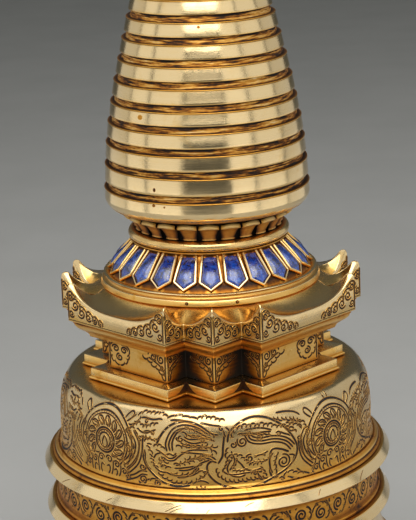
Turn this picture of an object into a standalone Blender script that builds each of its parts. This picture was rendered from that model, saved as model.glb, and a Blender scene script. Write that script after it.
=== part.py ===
"""A gilt reliquary stupa with a lapis collar, 445 mm tall, standing on a lotus base.

All sizes are in millimetres until a mesh is made, and heights are counted from the underside.
The origin is on the axis, at the centre of the flat underside, and one redented corner faces -Y.
"""
import math

import bmesh
import bpy

MM = 0.001
GAP = 0.3               # clearance between pieces that are seated on each other
SEGMENTS = 32           # sides of a large turned piece
RING_SEGMENTS = 24      # sides of a spire ring and its core

# Lotus base
FOOT_RADIUS = 101.0
RIM_RADIUS = 105.0
BEADING_RADIUS = 98.0
BEAD_RADIUS = 2.4
LOTUS_WAIST_RADIUS = 79.0
BASE_PETALS = 16
PETAL_STEPS = 6         # sides of one petal along a lotus row
FOOT_TOP = 3.0
RIM_TOP = 9.0
LOWER_BEADING_TOP = 14.0
LOWER_LOTUS_TOP = 35.0
WAIST_TOP = 40.0
UPPER_LOTUS_TOP = 61.0
UPPER_BEADING_TOP = 66.0
BASE_TOP = 70.5

# Body: flared skirt, girdle with its two rings, and the drum with its round shoulder
SKIRT_TOP = 99.0
GIRDLE_RING_RADIUS = 89.2
GIRDLE_RING_HEIGHT = 5.6
GIRDLE_BAND_RADIUS = 82.5
GIRDLE_BAND_TOP = 123.4
DRUM_BOTTOM = 134.0
DRUM_RADIUS = 79.8
DRUM_TOP = 171.9

# Harmika: the redented square of plinth, neck, moulding and horned eaves
HALF_SIDE = 66.8        # from the axis to a long side of the eaves
HALF_CORNER = 53.8      # from the axis to the two faces that meet in the middle corner tip
HALF_FACE = 34.4        # half the length of a long side
PLINTH_INSET = 6.6
NECK_INSET = 13.6
MOULDING_BOTTOM_INSET = 6.4
MOULDING_TOP_INSET = 1.6
PLINTH_TOP = 177.8
NECK_TOP = 193.8
MOULDING_TOP = 202.5
EAVES_EDGE = 211.0      # top of the fascia at the middle of a side
HORN_TIP = 222.0
ROOF_TOP = 216.6
BOSS_RADIUS = 55.4
BOSS_NECK_RADIUS = 53.0
BOSS_TOP = 221.6

# Lapis collar
COLLAR_PETALS = 24
COLLAR_TIP_RADIUS = 53.4
COLLAR_NOTCH_RADIUS = 50.6
COLLAR_TOP_RADIUS = 39.6
COLLAR_EDGE = 222.9
COLLAR_TOP = 239.2
INLAY_BED = 0.8         # how far the inlay's underside lies above the frame's cone
INLAY_DEPTH = 1.8
TORUS_RADIUS = 40.0
TORUS_BOTTOM = 240.3
TORUS_TOP = 245.5
TORUS_BED_RADIUS = 34.2     # where the torus dips to the bed of the spire lotus
TORUS_BED = 244.0

# Spire: lotus, core and thirteen rings, each ring by the radius and height of its upper lip
SPIRE_LOTUS_PETALS = 24
SPIRE_LOTUS_TOP = 254.9
CORE_FOOT_RADIUS = 28.0
GROOVE_DEPTH = 2.6
GROOVE_HEIGHT = 3.4
LOWEST_BAND_EDGE = 48.2 # radius where the lowest band has rounded under
LIP = 0.45              # how far a lip stands out from its band
RING_LIPS = (
    (51.3, 266.5), (50.5, 278.2), (49.5, 289.0), (48.1, 299.5), (46.3, 309.4),
    (44.2, 320.0), (41.8, 330.2), (39.3, 340.4), (36.7, 350.6), (34.0, 360.8),
    (31.2, 370.8), (28.3, 380.5), (25.3, 390.0),
)
CORE_TOP_RADIUS = 19.0
CORE_TOP = 393.0

# Crown
CROWN_LOTUS_PETALS = 12
CROWN_LOTUS_TOP = 399.5
PARASOL_RADIUS = 31.0
PARASOL_TOP = 411.0
MOON_RADIUS = 12.0
MOON_INNER_RADIUS = 9.6
MOON_WAIST = 6.4        # thickness of the crescent at its lowest point
MOON_DEPTH = 4.0
SUN_RADIUS = 6.4
JEWEL_RADIUS = 5.4
JEWEL_HEIGHT = 14.0

PALE_GILT = ("pale_gilt", (0.80, 0.63, 0.35), 0.24, 1.0)
WARM_GILT = ("warm_gilt", (0.78, 0.48, 0.17), 0.32, 1.0)
LAPIS = ("lapis", (0.03, 0.07, 0.34), 0.28, 0.0)
COPPER = ("copper_plate", (0.62, 0.30, 0.17), 0.42, 1.0)


def clear_scene():
    for old in list(bpy.data.objects):
        bpy.data.objects.remove(old, do_unlink=True)


def material(finish):
    name, colour, roughness, metallic = finish
    found = bpy.data.materials.get(name)
    if found:
        return found
    made = bpy.data.materials.new(name)
    made.use_nodes = True
    shader = made.node_tree.nodes["Principled BSDF"]
    shader.inputs["Base Color"].default_value = (*colour, 1.0)
    shader.inputs["Roughness"].default_value = roughness
    shader.inputs["Metallic"].default_value = metallic
    return made


def add_piece(name, bm, finish):
    bmesh.ops.recalc_face_normals(bm, faces=bm.faces)
    bmesh.ops.scale(bm, vec=(MM, MM, MM), verts=bm.verts)
    mesh = bpy.data.meshes.new(name)
    bm.to_mesh(mesh)
    bm.free()
    mesh.materials.append(material(finish))
    mesh.shade_smooth()
    mesh.set_sharp_from_angle(angle=math.radians(35))
    piece = bpy.data.objects.new(name, mesh)
    bpy.context.scene.collection.objects.link(piece)
    return piece


def turned(name, profile, finish, segments=SEGMENTS, bored=False):
    """Spin a profile of (radius, height) points: an open one is capped, a bored one is closed."""
    bm = bmesh.new()
    points = [bm.verts.new((radius, 0.0, height)) for radius, height in profile]
    edges = [bm.edges.new(pair) for pair in zip(points, points[1:])]
    if bored:
        edges.append(bm.edges.new((points[-1], points[0])))
    bmesh.ops.spin(bm, geom=points + edges, cent=(0, 0, 0), axis=(0, 0, 1), dvec=(0, 0, 0),
                   angle=math.tau, steps=segments, use_merge=True)
    if not bored:
        bmesh.ops.holes_fill(bm, edges=[edge for edge in bm.edges if edge.is_boundary])
    return add_piece(name, bm, finish)


def lofted(name, loops, finish, bored=False):
    """Skin a stack of loops with the same number of points, capped at both ends or closed."""
    bm = bmesh.new()
    rows = [[bm.verts.new(point) for point in loop] for loop in loops]
    if bored:
        rows.append(rows[0])
    else:
        bm.faces.new(rows[0])
        bm.faces.new(rows[-1])
    for lower, upper in zip(rows, rows[1:]):
        for i in range(len(lower)):
            j = (i + 1) % len(lower)
            bm.faces.new((lower[i], lower[j], upper[j], upper[i]))
    return add_piece(name, bm, finish)


def ring_loop(radius_at, height, count):
    """A closed loop about the axis whose radius follows the angle, starting at the front."""
    loop = []
    for i in range(count):
        angle = math.tau * i / count - math.pi / 2
        radius = radius_at(i / count)
        loop.append((radius * math.cos(angle), radius * math.sin(angle), height))
    return loop


def petal_wave(petals):
    """1 on the middle line of each petal and 0 between two petals, as turns go from 0 to 1."""
    return lambda turn: abs(math.cos(math.pi * petals * turn)) ** 0.7


def lotus(name, petals, steps, rows, finish, bored=False):
    """A row of petals: each level is (radius between petals, radius on a petal, height)."""
    wave = petal_wave(petals)
    count = petals * steps
    loops = []
    for valley, crest, height in rows:
        loops.append(ring_loop(lambda turn: valley + (crest - valley) * wave(turn), height, count))
    return lofted(name, loops, finish, bored)


def redented(inset):
    """The twenty corners of the stepped square, turned so that a corner tip faces the front."""
    side = HALF_SIDE - inset
    corner = HALF_CORNER - inset
    face = HALF_FACE - inset
    quarter = ((side, face), (corner, face), (corner, corner), (face, corner), (face, side))
    outline = []
    for turn in range(4):
        cos, sin = math.cos(turn * math.pi / 2), math.sin(turn * math.pi / 2)
        for u, v in quarter:
            x, y = u * cos - v * sin, u * sin + v * cos
            outline.append(((x - y) * math.sqrt(0.5), (x + y) * math.sqrt(0.5)))
    return outline


def redented_loop(inset, height):
    return [(x, y, height) for x, y in redented(inset)]


def lotus_base():
    turned("foot_plate", [(FOOT_RADIUS - 1.0, 0.0), (FOOT_RADIUS, 0.8), (FOOT_RADIUS, FOOT_TOP)], COPPER)
    turned("base_rim", [
        (RIM_RADIUS - 2.0, FOOT_TOP + GAP), (RIM_RADIUS, FOOT_TOP + 1.2), (RIM_RADIUS, RIM_TOP - 1.6),
        (RIM_RADIUS - 3.0, RIM_TOP)], PALE_GILT)
    beading("lower_beading", RIM_TOP + GAP, LOWER_BEADING_TOP, BEADING_RADIUS + 3.0)
    low, high = LOWER_BEADING_TOP + GAP, LOWER_LOTUS_TOP
    lotus("lower_lotus", BASE_PETALS, PETAL_STEPS, [
        (94.0, 99.0, low), (95.0, 102.5, low + 3.5), (88.0, 95.0, low + 12.0),
        (82.0, 84.0, high)], WARM_GILT)
    turned("lotus_waist", [
        (LOTUS_WAIST_RADIUS + 2.0, LOWER_LOTUS_TOP + GAP), (LOTUS_WAIST_RADIUS, LOWER_LOTUS_TOP + 1.6),
        (LOTUS_WAIST_RADIUS, WAIST_TOP - 1.6), (LOTUS_WAIST_RADIUS + 2.0, WAIST_TOP)], WARM_GILT)
    low, high = WAIST_TOP + GAP, UPPER_LOTUS_TOP
    lotus("upper_lotus", BASE_PETALS, PETAL_STEPS, [
        (82.0, 84.0, low), (86.0, 93.0, high - 12.0), (90.0, 98.5, high - 3.5),
        (90.0, 95.0, high)], WARM_GILT)
    beading("upper_beading", UPPER_LOTUS_TOP + GAP, UPPER_BEADING_TOP, BEADING_RADIUS - 4.0)
    turned("base_top_moulding", [
        (92.0, UPPER_BEADING_TOP + GAP), (93.5, UPPER_BEADING_TOP + 1.6),
        (93.0, BASE_TOP - 1.2), (91.0, BASE_TOP)], PALE_GILT)


def beading(name, low, high, radius):
    """The bed of a bead row, with a half round of the beads' own depth round its edge."""
    middle = (low + high) / 2
    turned(name, [
        (radius - BEAD_RADIUS, low), (radius + 1.6, low + 0.8), (radius + BEAD_RADIUS, middle),
        (radius + 1.6, high - 0.8), (radius - BEAD_RADIUS, high)], PALE_GILT)


def body():
    turned("bell_skirt", [
        (90.0, BASE_TOP + GAP), (89.5, BASE_TOP + 3.0), (85.5, BASE_TOP + 11.0),
        (83.2, SKIRT_TOP - 8.0), (82.6, SKIRT_TOP)], PALE_GILT)
    girdle_ring("lower_band_ring", SKIRT_TOP + GAP, GIRDLE_BAND_RADIUS)
    band_bottom = SKIRT_TOP + GIRDLE_RING_HEIGHT + 2 * GAP
    turned("engraved_band", [
        (GIRDLE_BAND_RADIUS + 1.5, band_bottom), (GIRDLE_BAND_RADIUS + 1.5, band_bottom + 1.6),
        (GIRDLE_BAND_RADIUS, band_bottom + 2.0), (GIRDLE_BAND_RADIUS, GIRDLE_BAND_TOP - 2.0),
        (GIRDLE_BAND_RADIUS + 1.5, GIRDLE_BAND_TOP - 1.6), (GIRDLE_BAND_RADIUS + 1.5, GIRDLE_BAND_TOP)],
        WARM_GILT)
    ring_bottom = GIRDLE_BAND_TOP + GAP
    girdle_ring("upper_band_ring", ring_bottom, GIRDLE_BAND_RADIUS)
    fillet_bottom = ring_bottom + GIRDLE_RING_HEIGHT + GAP
    turned("drum_fillets", [
        (84.6, fillet_bottom), (84.6, fillet_bottom + 1.4), (83.2, fillet_bottom + 1.8),
        (82.4, fillet_bottom + 3.0), (81.8, DRUM_BOTTOM - GAP)], WARM_GILT)
    turned("body_drum", [
        (DRUM_RADIUS + 1.0, DRUM_BOTTOM), (DRUM_RADIUS, DRUM_BOTTOM + 3.5), (DRUM_RADIUS, 152.0),
        (DRUM_RADIUS - 0.9, 160.0), (DRUM_RADIUS - 2.4, 165.5), (DRUM_RADIUS - 5.0, 169.6),
        (DRUM_RADIUS - 9.0, 171.6), (DRUM_RADIUS - 12.0, DRUM_TOP)], PALE_GILT)


def girdle_ring(name, low, inner_radius):
    """One of the two bold polished rings that hold the engraved band between them."""
    high = low + GIRDLE_RING_HEIGHT
    turned(name, [
        (inner_radius + 2.0, low), (GIRDLE_RING_RADIUS - 1.4, low + 0.1),
        (GIRDLE_RING_RADIUS, low + 0.9), (GIRDLE_RING_RADIUS - 1.4, high - 0.4),
        (GIRDLE_RING_RADIUS - 2.0, high)], PALE_GILT)


def harmika():
    low = DRUM_TOP + GAP
    lofted("harmika_plinth", [
        redented_loop(PLINTH_INSET + 1.2, low), redented_loop(PLINTH_INSET, low + 1.2),
        redented_loop(PLINTH_INSET, PLINTH_TOP)], PALE_GILT)
    lofted("harmika_neck", [
        redented_loop(NECK_INSET, PLINTH_TOP + GAP), redented_loop(NECK_INSET, NECK_TOP)], WARM_GILT)
    low = NECK_TOP + GAP
    lofted("eaves_moulding", [
        redented_loop(MOULDING_BOTTOM_INSET + 2.0, low), redented_loop(MOULDING_BOTTOM_INSET, low + 1.5),
        redented_loop((MOULDING_BOTTOM_INSET + MOULDING_TOP_INSET) / 2, low + 4.0),
        redented_loop(MOULDING_TOP_INSET, MOULDING_TOP - 1.0), redented_loop(MOULDING_TOP_INSET, MOULDING_TOP)],
        WARM_GILT)
    eaves_roof()
    turned("roof_boss", [
        (BOSS_RADIUS, ROOF_TOP + GAP), (BOSS_RADIUS - 0.4, ROOF_TOP + 2.8),
        (BOSS_NECK_RADIUS + 0.4, ROOF_TOP + 3.4), (BOSS_NECK_RADIUS, BOSS_TOP)], PALE_GILT)


def eaves_roof():
    """The horned roof: a fascia that rises to a point at each tip, and a hollow sweep above it."""
    fascia = fascia_top()
    bottom = [(x, y, MOULDING_TOP + GAP) for x, y, edge in fascia]
    loops = [bottom, fascia]
    for share in (0.86, 0.66, 0.4, 0.18, 0.0):
        loops.append([roof_point(point, share) for point in fascia])
    lofted("eaves_roof", loops, PALE_GILT)


def fascia_top():
    """The fascia's top edge, cut finer on the long sides, with its height along each edge."""
    corners = redented(0.0)
    points = []
    for i, start in enumerate(corners):
        end = corners[(i + 1) % len(corners)]
        place = i % 5
        long_side = place == 4
        steps = 8 if long_side else 3
        for step in range(steps):
            share = step / steps
            if long_side:
                lift = (1.0 - 2.0 * min(share, 1.0 - share)) ** 3
            elif place in (0, 2):
                lift = (1.0 - share) ** 2
            else:
                lift = share ** 2
            x = start[0] + (end[0] - start[0]) * share
            y = start[1] + (end[1] - start[1]) * share
            points.append((x, y, EAVES_EDGE + (HORN_TIP - EAVES_EDGE) * lift))
    return points


def roof_point(edge_point, share):
    """A point of the roof's upper side: share is 0 at the boss and 1 at the fascia."""
    x, y, edge = edge_point
    reach = math.hypot(x, y)
    radius = BOSS_RADIUS - 1.0 + (reach - BOSS_RADIUS + 1.0) * share
    sweep = (ROOF_TOP - EAVES_EDGE) * (1.0 - share) ** 2
    horn = (edge - EAVES_EDGE) * share ** 3
    return (x / reach * radius, y / reach * radius, EAVES_EDGE + sweep + horn)


def collar():
    count = COLLAR_PETALS * 4

    def edge_radius(turn):
        wave = abs((turn * COLLAR_PETALS + 0.5) % 1.0 - 0.5) * 2.0
        return COLLAR_TIP_RADIUS - (COLLAR_TIP_RADIUS - COLLAR_NOTCH_RADIUS) * wave

    def cone_loop(share, lift):
        """A loop on the collar's cone: share is 0 at the petal tips and 1 at the top."""
        height = COLLAR_EDGE + (COLLAR_TOP - COLLAR_EDGE) * share + lift
        return ring_loop(lambda turn: edge_radius(turn) + (COLLAR_TOP_RADIUS - edge_radius(turn)) * share,
                         height, count)

    lofted("collar_frame", [
        ring_loop(edge_radius, BOSS_TOP + GAP, count), cone_loop(0.0, 0.0), cone_loop(1.0, 0.0),
        ring_loop(lambda turn: COLLAR_TOP_RADIUS - 1.0, TORUS_BOTTOM - GAP, count)], PALE_GILT)
    lofted("lapis_petals", [
        cone_loop(0.06, INLAY_BED), cone_loop(0.06, INLAY_DEPTH), cone_loop(0.86, INLAY_DEPTH),
        cone_loop(0.86, INLAY_BED)], LAPIS, bored=True)
    middle = (TORUS_BOTTOM + TORUS_TOP) / 2
    turned("collar_torus", [
        (TORUS_RADIUS - 2.6, TORUS_BOTTOM), (TORUS_RADIUS - 0.7, TORUS_BOTTOM + 0.9),
        (TORUS_RADIUS, middle), (TORUS_RADIUS - 0.7, TORUS_TOP - 0.9), (TORUS_RADIUS - 2.6, TORUS_TOP),
        (TORUS_BED_RADIUS, TORUS_BED)], WARM_GILT)


def core_radius(height):
    """The core follows the lips of the rings, a groove's depth inside them."""
    for (low_radius, low), (high_radius, high) in zip(RING_LIPS, RING_LIPS[1:]):
        if height <= high:
            share = (height - low) / (high - low)
            return low_radius + (high_radius - low_radius) * share - GROOVE_DEPTH
    return RING_LIPS[-1][0] - GROOVE_DEPTH


def spire():
    foot = TORUS_BED + GAP
    bore = CORE_FOOT_RADIUS + GAP
    lotus("spire_lotus", SPIRE_LOTUS_PETALS, 4, [
        (bore, bore, foot), (31.0, 33.0, foot), (32.5, 36.0, foot + 4.5), (37.0, 41.5, SPIRE_LOTUS_TOP - 1.4),
        (36.5, 40.5, SPIRE_LOTUS_TOP), (bore, bore, SPIRE_LOTUS_TOP)], WARM_GILT, bored=True)
    first_radius, first_lip = RING_LIPS[0]
    turned("spire_ring_01", [
        (bore, SPIRE_LOTUS_TOP + GAP), (LOWEST_BAND_EDGE - 3.0, SPIRE_LOTUS_TOP + GAP),
        (LOWEST_BAND_EDGE, SPIRE_LOTUS_TOP + 1.2), (first_radius - 0.9, SPIRE_LOTUS_TOP + 3.4),
        (first_radius - LIP, first_lip - 1.2), (first_radius, first_lip), (bore, first_lip)],
        PALE_GILT, RING_SEGMENTS, bored=True)
    core = [(CORE_FOOT_RADIUS, foot), (CORE_FOOT_RADIUS, first_lip + GAP)]
    core += [(core_radius(lip), lip + (GAP if i == 0 else 0.0)) for i, (radius, lip) in enumerate(RING_LIPS)
             if i % 3 == 0]
    core.append((CORE_TOP_RADIUS, CORE_TOP))
    turned("spire_core", core, WARM_GILT, RING_SEGMENTS)
    for number, below, ring in zip(range(2, len(RING_LIPS) + 1), RING_LIPS, RING_LIPS[1:]):
        spire_ring(f"spire_ring_{number:02d}", below, ring)


def core_surface(height):
    """The radius of the core's own straight runs, which bend at every third lip."""
    bends = [(core_radius(lip), lip) for i, (radius, lip) in enumerate(RING_LIPS) if i % 3 == 0]
    for (low_radius, low), (high_radius, high) in zip(bends, bends[1:]):
        if height <= high:
            return low_radius + (high_radius - low_radius) * (height - low) / (high - low)
    return bends[-1][0]


def spire_ring(name, below, ring):
    """A conical band with a lip, from a groove's height above the lip below up to its own lip."""
    below_radius, below_lip = below
    radius, lip = ring
    slope = (below_radius - radius) / (lip - below_lip)
    low = below_lip + GROOVE_HEIGHT
    face_foot = radius - LIP + slope * (lip - low)
    turned(name, [
        (core_surface(low) + GAP, low), (face_foot - 0.6, low), (face_foot, low + 0.5),
        (radius - LIP, lip - 1.2), (radius, lip), (core_surface(lip) + GAP, lip)],
        PALE_GILT, RING_SEGMENTS, bored=True)


def crown():
    foot = CORE_TOP + GAP
    lotus("crown_lotus", CROWN_LOTUS_PETALS, 4, [
        (14.0, 15.0, foot), (17.0, 20.0, foot + 2.0), (20.0, 24.0, CROWN_LOTUS_TOP - 1.0),
        (19.0, 22.0, CROWN_LOTUS_TOP)], WARM_GILT)
    foot = CROWN_LOTUS_TOP + GAP
    turned("parasol", [
        (PARASOL_RADIUS - 2.0, foot), (PARASOL_RADIUS, foot + 0.8), (PARASOL_RADIUS, foot + 2.6),
        (26.0, foot + 6.0), (15.0, foot + 9.4), (6.0, PARASOL_TOP)], PALE_GILT)
    crescent_moon()
    sun_centre = PARASOL_TOP + 2 * GAP + MOON_WAIST + SUN_RADIUS
    sun = turned("sun_disc", [
        (SUN_RADIUS - 1.2, -MOON_DEPTH / 2), (SUN_RADIUS, -0.8), (SUN_RADIUS, 0.8),
        (SUN_RADIUS - 1.2, MOON_DEPTH / 2)], PALE_GILT, RING_SEGMENTS)
    sun.rotation_euler.x = math.pi / 2
    sun.location.z = sun_centre * MM
    foot = sun_centre + SUN_RADIUS + GAP
    turned("jewel_finial", [
        (2.2, foot), (JEWEL_RADIUS - 1.2, foot + 1.6), (JEWEL_RADIUS, foot + 4.6),
        (JEWEL_RADIUS - 1.8, foot + 8.2), (1.6, foot + 11.6), (0.5, foot + JEWEL_HEIGHT)],
        WARM_GILT, RING_SEGMENTS)


def crescent_moon():
    """A flat crescent that stands on the parasol with its horns up."""
    base = PARASOL_TOP + GAP
    outer_centre = base + MOON_RADIUS
    inner_centre = base + MOON_WAIST + MOON_INNER_RADIUS
    steps = 14
    outer_reach = math.radians(122)
    inner_reach = math.radians(112)
    outline = []
    for i in range(steps + 1):
        angle = -outer_reach + 2 * outer_reach * i / steps
        outline.append((MOON_RADIUS * math.sin(angle), outer_centre - MOON_RADIUS * math.cos(angle)))
    for i in range(steps + 1):
        angle = inner_reach - 2 * inner_reach * i / steps
        outline.append((MOON_INNER_RADIUS * math.sin(angle),
                        inner_centre - MOON_INNER_RADIUS * math.cos(angle)))
    lofted("crescent_moon", [
        [(x, -MOON_DEPTH / 2, z) for x, z in outline], [(x, MOON_DEPTH / 2, z) for x, z in outline]],
        WARM_GILT)


def main():
    clear_scene()
    lotus_base()
    body()
    harmika()
    collar()
    spire()
    crown()


main()
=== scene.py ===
"""The looks of a gilt reliquary stupa: polished gilt bands, worn warm gilding in the recesses,
engraved scrolls with dark patina in their lines, and a collar of lapis petals in gilt rims.

Sizes are in millimetres until a mesh is made. Heights count from the underside, and angles in
turns of the compass are measured from the front (-Y) towards +X. A part is a tuple of its points,
its faces and a tone for each point, which the gilding reads as wear and patina, and also as painted
shade where the tone is set dark in hollows, under overhangs and in corners.
"""
import math

import bpy
import numpy as np
from mathutils import Matrix, Vector


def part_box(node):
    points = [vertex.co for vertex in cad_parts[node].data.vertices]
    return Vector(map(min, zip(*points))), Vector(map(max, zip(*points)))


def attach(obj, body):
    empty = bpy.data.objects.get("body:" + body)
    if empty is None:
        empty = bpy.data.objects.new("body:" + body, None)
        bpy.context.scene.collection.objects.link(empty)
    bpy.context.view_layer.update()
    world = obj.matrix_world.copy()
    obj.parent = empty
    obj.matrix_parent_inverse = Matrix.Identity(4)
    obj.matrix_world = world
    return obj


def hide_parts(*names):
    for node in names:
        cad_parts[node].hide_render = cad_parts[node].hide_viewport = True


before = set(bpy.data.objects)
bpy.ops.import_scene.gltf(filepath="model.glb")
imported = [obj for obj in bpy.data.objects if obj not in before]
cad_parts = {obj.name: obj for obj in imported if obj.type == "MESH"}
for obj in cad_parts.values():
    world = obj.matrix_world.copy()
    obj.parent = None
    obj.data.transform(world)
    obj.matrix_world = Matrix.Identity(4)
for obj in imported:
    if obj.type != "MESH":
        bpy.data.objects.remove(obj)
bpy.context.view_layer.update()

MM = 0.001
FINE = 192              # sides of a large turned piece
QUARTER = math.pi / 2

# The photograph's view: 416 x 520 pixels, looking down on one redented corner
VIEW_TARGET_HEIGHT = 0.225
VIEW_DISTANCE = 0.9602
VIEW_PITCH = math.radians(15.44)
VIEW_ROLL = math.radians(-2.19)
VIEW_YAW = math.radians(-0.06)
VIEW_FOCAL_PIXELS = 1900.0
VIEW_LONG_SIDE_PIXELS = 520.0
SENSOR = 36.0

# The studio in metres, with each panel's brightness as seen in a mirror
HORIZON_LIGHT = 0.085
ZENITH_LIGHT = 0.17
WORLD_COLOUR = (0.92, 0.96, 0.90, 1.0)
PANEL_COLOUR = (1.0, 0.985, 0.95)
AIM_HEIGHT = 0.2
WALL_HEIGHT = 0.85
WALL_DISTANCE = 0.95
FLOOR_REACH = 12000.0
WALL_PANELS = (             # compass angles of both ends and brightness, with thin dark gaps between them
    ("left_front", -69.5, -25.0, 0.78), ("left_middle", -99.5, -71.0, 0.76),
    ("left_back", -137.0, -101.0, 0.5), ("right_front", 25.0, 55.0, 0.84),
    ("right_middle", 56.5, 98.0, 0.7), ("right_back", 99.5, 137.0, 0.46))
FRONT_PANELS = (            # y, z, height of the aim, width, height, brightness, seen in diffuse and glossy
    ("overhead", -0.25, 1.9, 0.2, 1.7, 1.25, 2.7, True, False),
    ("front_sky", -1.02, 1.56, 0.2, 1.6, 1.73, 3.0, True, True),
    ("front_fill", -1.6, 0.42, 0.3, 1.3, 0.5, 1.4, True, False),
    ("front_low", -1.5, 0.74, 0.74, 1.2, 0.30, 0.42, False, True),
    ("front_strip", -2.4, 0.68, 0.3, 2.3, 0.10, 1.7, False, True))
SKY_PANELS = (              # compass angle, elevation, distance, width, height and brightness
    ("left_sky", -70.0, 56.0, 1.5, 1.3, 0.95, 1.1), ("right_sky", 70.0, 56.0, 1.5, 1.3, 0.95, 1.0),
    ("left_back_sky", -108.0, 44.0, 1.4, 0.55, 0.4, 0.4),
    ("right_back_sky", 108.0, 44.0, 1.4, 0.55, 0.4, 0.35), ("back_top", 180.0, 70.0, 1.4, 0.3, 0.4, 0.5))

# How worn or how deep in a recess a surface is, from polished to black patina; the dark values also serve as
# painted shade in hollows, under overhangs and in corners
POLISHED = 0.0
SOFT = 0.12
WARM = 0.34
DEEP = 0.55
COPPERY = 0.66
DARK = 0.85
BLACK = 1.0


# Points, parts and pieces

def span(node):
    """The outer radius and the lowest and highest level of a CAD node, in millimetres."""
    low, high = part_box(node)
    return high.x / MM, low.z / MM, high.z / MM


def half_depth(node):
    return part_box(node)[1].y / MM


def profile_of(node, foot, head=(), edge=None):
    """Profile rows of (radius, height, tone, rounding) on a CAD node.

    The rows of foot count their heights from its lowest level, and those of head from its highest.
    Radii count outwards from the node's own edge, or from another radius that is given.
    """
    radius, low, high = span(node)
    start = radius if edge is None else edge
    rows = [(low, *row) for row in foot] + [(high, *row) for row in head]
    return [(start + out, level + up, *rest) for level, out, up, *rest in rows]


def all_round(sides):
    """Equally spaced angles of a full turn."""
    return np.arange(sides) * math.tau / sides


def about_axis(radius, height, angles):
    """Points at compass angles about the axis."""
    return np.column_stack([radius * np.sin(angles), -radius * np.cos(angles),
                            np.broadcast_to(height, angles.shape)])


def rotated(points, angle):
    """Flat points turned anticlockwise."""
    cos, sin = math.cos(angle), math.sin(angle)
    return points @ np.array([[cos, sin], [-sin, cos]])


def round_corners(profile, steps=4):
    """Cut each corner of a profile of (radius, height, tone, rounding) with an arc."""
    done = []
    for i, corner in enumerate(profile):
        here = np.array(corner[:3], float)
        if len(corner) < 4 or i in (0, len(profile) - 1):
            done.append(here)
            continue
        before, after = [np.array(profile[i + way][:3], float) for way in (-1, 1)]
        reach_back, reach_on = [np.linalg.norm(other[:2] - here[:2]) for other in (before, after)]
        cut = min(corner[3], reach_back * 0.48, reach_on * 0.48)
        start = here + (before - here) * cut / reach_back
        end = here + (after - here) * cut / reach_on
        for t in np.linspace(0.0, 1.0, steps + 1):
            done.append(start * (1 - t) ** 2 + here * 2 * t * (1 - t) + end * t ** 2)
    return np.array(done)


def sheet_part(rows, closed_rows=False, closed_columns=False):
    """Skin rows of (points, tone) that have the same number of points."""
    count = len(rows[0][0])
    points = np.concatenate([row for row, tone in rows])
    wear_and_shade = np.concatenate([np.broadcast_to(tone, (count,)) for row, tone in rows])
    faces = []
    for row in range(len(rows) if closed_rows else len(rows) - 1):
        low, high = row * count, (row + 1) % len(rows) * count
        for i in range(count if closed_columns else count - 1):
            j = (i + 1) % count
            faces.append((low + i, low + j, high + j, high + i))
    return points, faces, wear_and_shade


def loft_part(rows, closed=False):
    """Skin rows that run all round: capped at both ends, or closed round a bore."""
    points, faces, wear_and_shade = sheet_part(rows, closed, True)
    if not closed:
        count = len(rows[0][0])
        faces.append(tuple(range(count - 1, -1, -1)))
        faces.append(tuple(range(len(points) - count, len(points))))
    return points, faces, wear_and_shade


def revolve_part(profile, sides=FINE, closed=False):
    """Turn a profile with rounded corners about the axis."""
    angles = all_round(sides)
    rows = [(about_axis(radius, height, angles), tone) for radius, height, tone in round_corners(profile)]
    return loft_part(rows, closed)


def join_parts(parts):
    points, faces, wear_and_shade, start = [], [], [], 0
    for part_points, part_faces, part_recess in parts:
        points.append(part_points)
        wear_and_shade.append(part_recess)
        faces += [tuple(index + start for index in face) for face in part_faces]
        start += len(part_points)
    return np.concatenate(points), faces, np.concatenate(wear_and_shade)


def build_mesh(name, part, smooth_angle=32.0):
    points, faces, wear_and_shade = part
    mesh = bpy.data.meshes.new(name)
    mesh.from_pydata(np.asarray(points, float) * MM, [], faces)
    mesh.update()
    layer = mesh.attributes.new("wear_and_shade", "FLOAT", "POINT")
    layer.data.foreach_set("value", np.asarray(wear_and_shade, np.float32))
    mesh.shade_smooth()
    mesh.set_sharp_from_angle(angle=math.radians(smooth_angle))
    return mesh


def add_object(name, data):
    thing = bpy.data.objects.new(name, data)
    bpy.context.scene.collection.objects.link(thing)
    return thing


def add_piece(name, parts, finish, slot, *nodes, smooth_angle=32.0):
    """Join parts to a piece that stands for some CAD nodes, or for none."""
    mesh = build_mesh(name, join_parts(parts), smooth_angle)
    mesh.materials.append(finish)
    piece = add_object(name, mesh)
    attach(piece, "root")
    if nodes:
        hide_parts(*nodes)


def turned(name, node, profile, finish, slot, sides=FINE, closed=False):
    add_piece(name, [revolve_part(profile, sides, closed)], finish, slot, node)


# Materials

def set_inputs(tree, node, inputs):
    """Link or set some inputs of a shader node, by name or number."""
    for key, value in inputs.items():
        if isinstance(value, bpy.types.NodeSocket):
            tree.links.new(value, node.inputs[key])
        else:
            node.inputs[key].default_value = value


def add_node(tree, kind, inputs=None, **settings):
    node = tree.nodes.new("ShaderNode" + kind)
    for key, value in settings.items():
        setattr(node, key, value)
    set_inputs(tree, node, inputs or {})
    return node


def calc(tree, operation, first, second, clamp=False):
    return add_node(tree, "Math", {0: first, 1: second}, operation=operation, use_clamp=clamp).outputs[0]


def total(tree, first, *others):
    for other in others:
        first = calc(tree, "ADD", first, other)
    return first


def sway(tree, value, amount):
    """How far a noise lies from its middle, times an amount."""
    return calc(tree, "MULTIPLY", calc(tree, "SUBTRACT", value, 0.5), amount)


def noise(tree, place, scale, detail, roughness=0.5, distortion=0.0):
    return add_node(tree, "TexNoise", {"Vector": place, "Scale": scale, "Detail": detail,
                                       "Roughness": roughness, "Distortion": distortion}).outputs["Fac"]


def map_range(tree, value, start, end, to_start, to_end):
    return add_node(tree, "MapRange", {"Value": value, "From Min": start, "From Max": end, "To Min": to_start,
                                       "To Max": to_end}).outputs["Result"]


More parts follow.
